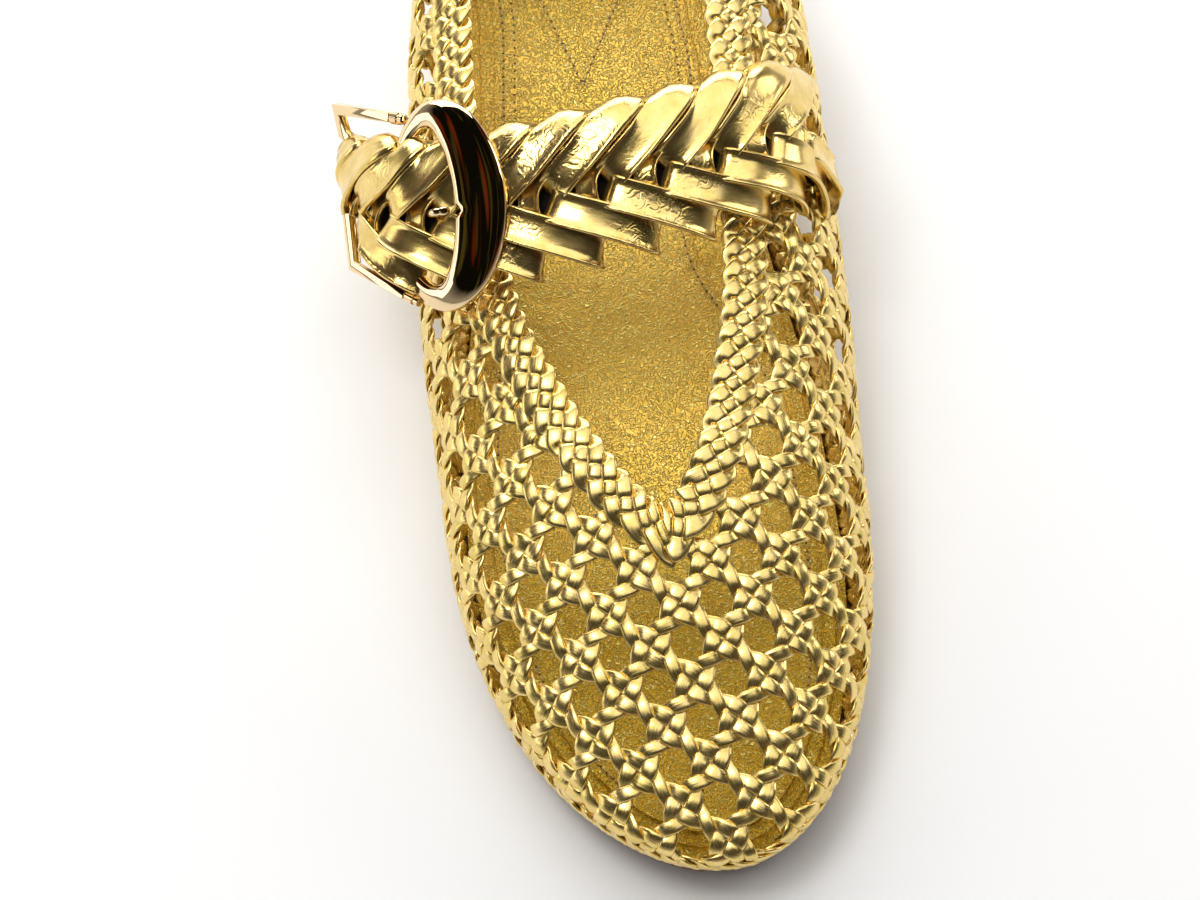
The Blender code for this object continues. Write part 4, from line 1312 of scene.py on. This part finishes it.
class FLAT_OT_buckle(Operator):
    """Cast the buckle's oval ring, its hinge barrels, its wire frame and its prong"""

    bl_idname = "flat.buckle"
    bl_label = "Make the buckle"

    def execute(self, context):
        colour = context.scene.flat_leather.buckle_colour
        plate = finish_named("polished_plate", polished_metal, colour)
        made = loft("ring_cast", list(ring_rings()), closed=True, sharp=50)
        finished(made, plate, ("buckle_ring",))

        hole = strap_hole_run(RING_HOLE)
        middle, *ways = (
            Vector(item[0]) for item in strap_frame(np.array([hole + RING_PAST_HOLE + FRAME_RUN]))
        )
        bend = [
            middle + sum((way * size for way, size in zip(ways, row)), Vector()) * MM
            for row in FRAME_ROWS
        ]
        arms = []
        for name, way, corner in (("toe", -1, bend[0]), ("heel", 1, bend[-1])):
            start = ring_point(way * HINGE_ANGLE, HINGE_STANDOFF, 0)
            toward = (corner - start).normalized()
            end = start + toward * HINGE_LENGTH
            hinge = turned_piece("hinge_barrel_" + name, HINGE_PROFILE, start, end)
            finished(hinge, plate, ("buckle_hinge_" + name,))
            arms.append(end + toward * GAP)
        bar = swept_bar("frame_bar", (arms[0], *bend, arms[1]), FRAME_HALF, FRAME_BEVEL)
        finished(bar, plate, ("buckle_frame",))

        path = smooth_path([(hole + a * MM, 0.0, b * MM) for a, b in PRONG_ROWS], 0.35 * MM)
        from_tip = np.arange(len(path))[::-1]
        round_tip = 1 - ((from_tip - TIP_MIDDLE) / TIP_HALF) ** 2
        rounded = TIP_SWELL * np.sqrt(np.maximum(round_tip, 0.02))
        radius = PRONG_RADIUS * np.where(from_tip < 2 * TIP_MIDDLE, rounded, 1)
        rings = strip_rings(path, radius, radius, CIRCLE, side=np.array([0.0, 1.0, 0.0]))
        made = strips_object("prong_pin", [rings], on_strap, CIRCLE)
        finished(made, plate, ("buckle_prong",))

        # The polished metal mirrors the dark ceiling, and the strap a softbox of its own
        metal = ("ring_cast", "hinge_barrel", "frame_bar", "prong_pin")
        choose_lit("key_softbox", metal, "EXCLUDE")
        choose_lit("top_softbox", metal + ("strap_braid",), "EXCLUDE")
        choose_lit("strap_softbox", ("strap_braid",), "INCLUDE")
        return {"FINISHED"}


# ---------------------------------------------------------------- insole, sole and heel

ARCH_INSET = 10.4 * MM
ARCH_STATION = 104
ARCH_SPREAD = 25


def arch_inset(y):
    """How far the sock's rim and seam swing in at the shoe's medial arch."""
    station = (ORIGIN_STATION - y) / MM
    return ARCH_INSET * np.exp(-(((station - ARCH_STATION) / ARCH_SPREAD) ** 2))


def sole_edges(inset, count):
    """Left and right edges of an insole shape at even places from heel to toe."""
    left, right = (feather_points(side, -inset) for side in (-1, 1))
    back = max(left[0, 1], right[0, 1])
    front = min(left[-1, 1], right[-1, 1])
    spread = (1 - np.cos(np.linspace(0, math.pi, count))) / 2
    spread = SLAB_INSET + spread * (1 - 2 * SLAB_INSET)
    y = back + (front - back) * spread
    left, right = (np.interp(-y, -edge[:, 1], edge[:, 0]) for edge in (left, right))
    return left, right - (arch_inset(y) if inset > 0 else 0), y


def insole_height(y):
    return tread_height(ORIGIN_STATION - np.asarray(y, float)) + INSOLE_TOP


# Parts of the full height at a sock's edge, and how deep its underside lies
SOCK_EDGE = (0.0, 0.55, 0.8)
SOCK_UNDER = 0.3 * MM


def sock_piece(name, inset, low, high, crown, count=110, columns=26):
    """A thin leather shape on the insole: soft round edges and a slightly crowned top."""
    left, right, y = sole_edges(inset, count)
    part = np.concatenate([[0, 0], (1 - np.cos(np.linspace(0, math.pi, columns))) / 2, [1, 1]])
    level = np.concatenate([SOCK_EDGE, np.ones(columns - 2), SOCK_EDGE[::-1]])
    across = left[:, None] + (right - left)[:, None] * part
    along = np.repeat(y[:, None], len(part), axis=1)
    row = np.arange(count)
    end = np.minimum(row, row[::-1])[:, None]
    rise = np.where(end < 2, np.minimum(level, 0.5 + 0.25 * end), level)
    dome = crown * np.sin(math.pi * part) * np.sin(math.pi * row / (count - 1))[:, None]
    under = insole_height(along) + low
    top = np.stack([across, along, under + (high - low) * rise + dome], axis=-1)
    bottom = np.stack([across, along, under - SOCK_UNDER], axis=-1)
    rings = np.concatenate([top, bottom[:, ::-1]], axis=1)
    return loft(name, rings, sharp=60, weld=0.002 * MM)


def inset_line(inset, first, last):
    """Points along the insole's rim at an inset, between two stations, on both sides."""
    lines = []
    for side in (-1, 1):
        edge = feather_points(side, -inset)
        kept = (ORIGIN_STATION - edge[:, 1] > first) & (ORIGIN_STATION - edge[:, 1] < last)
        edge = edge[kept]
        edge[:, 0] -= arch_inset(edge[:, 1]) * (side == 1)
        run = run_along(edge)
        lines.append(read_at(np.arange(0, run[-1], STITCH_PITCH), run, edge))
    return lines


def stitched(name, lines, size, lift):
    """One stitch, modelled once and copied along lines of places on the insole."""
    nothing_selected()
    bpy.ops.mesh.primitive_uv_sphere_add(segments=8, ring_count=6, radius=0.5)
    stitch = bpy.context.object
    bpy.ops.object.mode_set(mode="EDIT")
    bpy.ops.mesh.select_all(action="SELECT")
    bpy.ops.transform.resize(value=size)
    bpy.ops.object.mode_set(mode="OBJECT")
    shape = bmesh.new()
    for line in lines:
        for (x, y), (way_x, way_y) in zip(line, np.gradient(line, axis=0)):
            turn = Matrix.Rotation(math.atan2(way_y, way_x), 4, "Z")
            place = Matrix.Translation((x, y, float(insole_height(y)) + lift))
            copy = stitch.data.copy()
            copy.transform(place @ turn)
            shape.from_mesh(copy)
            bpy.data.meshes.remove(copy)
    mesh = bpy.data.meshes.new(name)
    shape.to_mesh(mesh)
    shape.free()
    bpy.data.objects.remove(stitch)
    mesh.shade_smooth()
    return linked(name, mesh)


def dress_node(name, material):
    """Gives a solid that stays in view a better material."""
    node = frame["nodes"][name]
    for slot in node.material_slots:
        slot.material = material
    if not node.material_slots:
        node.data.materials.append(material)


STITCH_PITCH = 2.0 * MM
STITCH_SIZE = (1.5 * MM, 0.42 * MM, 0.3 * MM)
HOLE_SIZE = (0.6 * MM, 0.6 * MM, 0.3 * MM)
THREAD_COLOUR = (0.72, 0.52, 0.22)
# The piercings are small dark dots: painted shade standing in for the shade inside each hole
HOLE_SHADE_COLOUR = (0.20, 0.11, 0.025)
# Rows along the insole's rim: their inset, and the stations that they run between
SEAM_ROW = (INSOLE_CLEARANCE + 5.6 * MM, 4 * MM, 232 * MM)
HEEL_ROW = (INSOLE_CLEARANCE + 8.2 * MM, 12 * MM, 95 * MM)
# How high the stitches and the holes between them lie over the insole
SEAM_LIFTS = (0.95 * MM, 0.86 * MM)
V_LIFTS = (1.28 * MM, 1.2 * MM)
# The heel's V of stitches: offset from the middle and station of its tip and feet (mm)
V_TIP = (-4.8, 61.6)
V_FEET = ((-14.2, 31.0), (9.6, 33.0))


class FLAT_OT_insole(Operator):
    """Line the insole: rand strip, sock, seams, perforations and the heel's V of stitches"""

    bl_idname = "flat.insole"
    bl_label = "Line the insole"

    def execute(self, context):
        leather = context.scene.flat_leather
        grain = finish_named("insole_foil", grained_foil, leather.insole_colour, 0.36)
        dress_node("insole", grain)
        sock = sock_piece("insole_sock", INSOLE_CLEARANCE + 3.4 * MM, 0.0, 0.75 * MM, 0.5 * MM)
        finished(sock, grain)
        margin = sock_piece("insole_margin", -0.2 * MM, -1.2 * MM, -0.6 * MM, 0.0)
        finished(margin, grain)
        thread = finish_named("stitch_thread", thread_finish, THREAD_COLOUR)
        # Painted shade: dark dots stand in for the shade in the seam's and the V's holes
        dark = finish_named("pierced_holes", thread_finish, HOLE_SHADE_COLOUR)
        v_lines = []
        tip = np.array(V_TIP)
        for foot in V_FEET:
            count = int(np.linalg.norm(tip - foot) * MM / STITCH_PITCH)
            line = tip + (np.array(foot) - tip) * np.linspace(0, 1, count)[:, None]
            v_lines.append(np.stack([line[:, 0], ORIGIN_STATION / MM - line[:, 1]], axis=-1) * MM)
        seams, heel_row = (inset_line(*facts) for facts in (SEAM_ROW, HEEL_ROW))
        seam_holes, v_holes = (
            [line + 0.5 * np.gradient(line, axis=0) for line in lines] for lines in (seams, v_lines)
        )
        for name, lines, size, lift, finish in (
            ("seam_stitches", seams, STITCH_SIZE, SEAM_LIFTS[0], thread),
            ("heel_v_stitches", v_lines, STITCH_SIZE, V_LIFTS[0], thread),
            ("seam_piercings", seam_holes + heel_row, HOLE_SIZE, SEAM_LIFTS[1], dark),
            ("heel_v_piercings", v_holes, HOLE_SIZE, V_LIFTS[1], dark),
        ):
            finished(stitched(name, lines, size, lift), finish)
        return {"FINISHED"}


class FLAT_OT_sole(Operator):
    """Finish the outsole's edge and the low heel"""

    bl_idname = "flat.sole"
    bl_label = "Finish the sole"

    def execute(self, context):
        leather = context.scene.flat_leather
        brown = finish_named("sole_leather_finish", plain_leather, leather.sole_colour)
        dress_node("outsole", brown)
        dress_node("heel", brown)
        return {"FINISHED"}


# ---------------------------------------------------------------- the studio


def soft_light(name, place, aim, size, power):
    light = bpy.data.lights.new(name, "AREA")
    light.shape = "RECTANGLE"
    light.size, light.size_y = size
    light.energy = power
    made = linked(name, light)
    made.location = place
    made.rotation_euler = (Vector(aim) - Vector(place)).to_track_quat("-Z", "Y").to_euler()


CEILING = (0.004, 0.004, 0.003, 1)
RED_STREAK = (0.14, 0.018, 0.004, 1)
OLIVE_STREAK = (0.06, 0.05, 0.012, 1)
HORIZON = (0.32, 0.31, 0.30, 1)
HORIZON_HEIGHTS = (0.12, 0.40)


def studio_air(scene):
    """A grey horizon under a dark ceiling with faint red and olive streaks."""
    world = bpy.data.worlds.new("studio_air")
    scene.world = world
    world.use_nodes = True
    tree = world.node_tree
    way = add_node(tree, "ShaderNodeTexCoord").outputs["Generated"]
    height = add_node(tree, "ShaderNodeSeparateXYZ", {0: way}).outputs[2]
    streaked = stretched(tree, way, (3.4, 0.8, 1.0))
    red = between(tree, noise(tree, streaked, 1.3, 1.0), 0.60, 0.70)
    olive = between(tree, noise(tree, streaked, 2.1, 1.0, 0.5, 0.4), 0.56, 0.68)
    dark = mixed(tree, olive, mixed(tree, red, CEILING, RED_STREAK), OLIVE_STREAK)
    colour = mixed(tree, between(tree, height, *HORIZON_HEIGHTS), HORIZON, dark)
    set_inputs(tree.nodes["Background"], {"Color": colour, "Strength": 1.0})


FLOOR_SIZE = 6
SHOE_MIDDLE = (0, -0.08, 0.03)
CAMERA_PLACE = (-0.0164, -0.5128, 0.8425)
SENSOR_WIDTH = 36


class FLAT_OT_studio(Operator):
    """Lay the pale floor, hang the soft lights and set the camera"""

    bl_idname = "flat.studio"
    bl_label = "Set the studio"

    def execute(self, context):
        studio = context.scene.flat_studio
        nothing_selected()
        bpy.ops.mesh.primitive_plane_add(size=FLOOR_SIZE, location=(0, 0, 0))
        floor = context.object
        floor.name = "studio_floor"
        material, _, shader = fresh_material("pale_paper")
        pale = {"Base Color": (0.93, 0.93, 0.93, 1), "Roughness": 0.7, "Specular IOR Level": 0.2}
        set_inputs(shader, pale)
        floor.data.materials.append(material)

        studio_air(context.scene)
        for name, place, aim, size, power in (
            ("top", (0, 0.31, 2.0), (0, 0.31, 0), (3.0, 2.44), studio.top),
            ("strap", (0.6, 0.82, 2.0), (0.6, 0.82, 0), (3.0, 2.3), studio.strap),
            ("key", (-0.55, 0.05, 1.98), (0, -0.1, 0), (0.7, 0.7), studio.key),
            ("back", (-0.12, 1.40, 0.62), SHOE_MIDDLE, (1.9, 0.95), studio.back),
            ("right", (1.1, 0.35, 0.5), SHOE_MIDDLE, (0.5, 0.5), studio.right),
            ("left", (-1.25, 0.05, 0.28), SHOE_MIDDLE, (1.0, 0.36), studio.left),
        ):
            soft_light(name + "_softbox", place, aim, size, power)
        fill = linked("fill_light", bpy.data.lights.new("fill_light", "SUN"))
        fill.data.energy, fill.data.angle = studio.fill, math.radians(110)
        fill.rotation_euler = (math.radians(-12), math.radians(-18), 0)
        fill.visible_glossy = False

        camera = linked("studio_camera", bpy.data.cameras.new("studio_camera"))
        camera.data.lens = studio.lens
        camera.data.sensor_width = SENSOR_WIDTH
        camera.location = CAMERA_PLACE
        aimed = Euler((math.pi / 2 - studio.elevation, 0, -studio.turn)).to_matrix()
        aimed = aimed @ Matrix.Rotation(studio.centring, 3, "Y")
        camera.rotation_euler = aimed.to_euler()
        camera.data.clip_start = 0.05
        camera.data.clip_end = 20
        context.scene.camera = camera
        context.scene.view_settings.view_transform = "Standard"
        return {"FINISHED"}


class FLAT_PT_bench(Panel):
    """The maker's bench: every step of the flat, in order"""

    bl_idname = "FLAT_PT_bench"
    bl_label = "Ballet Flat"
    bl_space_type = "VIEW_3D"
    bl_region_type = "UI"
    bl_category = "Flat"

    def draw(self, context):
        layout = self.layout
        for step in STEPS:
            layout.operator(step.bl_idname)
        for name, group in GROUPS.items():
            box = layout.box()
            box.label(text=group.__name__.removesuffix("Settings"))
            for key in group.__annotations__:
                box.prop(getattr(context.scene, name), key)


STEPS = (
    FLAT_OT_studio, FLAT_OT_sole, FLAT_OT_insole, FLAT_OT_weave, FLAT_OT_plaits, FLAT_OT_strap,
    FLAT_OT_buckle,
)
GROUPS = {
    "flat_weave": WeaveSettings,
    "flat_plaits": PlaitSettings,
    "flat_strap": StrapSettings,
    "flat_leather": LeatherSettings,
    "flat_studio": StudioSettings,
}


def register():
    for made in (*GROUPS.values(), *STEPS, FLAT_PT_bench):
        bpy.utils.register_class(made)
    for name, group in GROUPS.items():
        setattr(bpy.types.Scene, name, PointerProperty(type=group))


def unregister():
    for name in GROUPS:
        delattr(bpy.types.Scene, name)
    for made in reversed((*GROUPS.values(), *STEPS, FLAT_PT_bench)):
        bpy.utils.unregister_class(made)


def main():
    nothing_selected()
    for old in ("Cube", "Light", "Camera"):
        if old in bpy.data.objects:
            bpy.data.objects.remove(bpy.data.objects[old])
    register()
    bpy.ops.flat.studio()
    bpy.ops.flat.sole()
    bpy.ops.flat.insole()
    bpy.ops.flat.weave()
    bpy.ops.flat.plaits()
    bpy.ops.flat.strap()
    bpy.ops.flat.buckle()


if __name__ == "__main__":
    main()
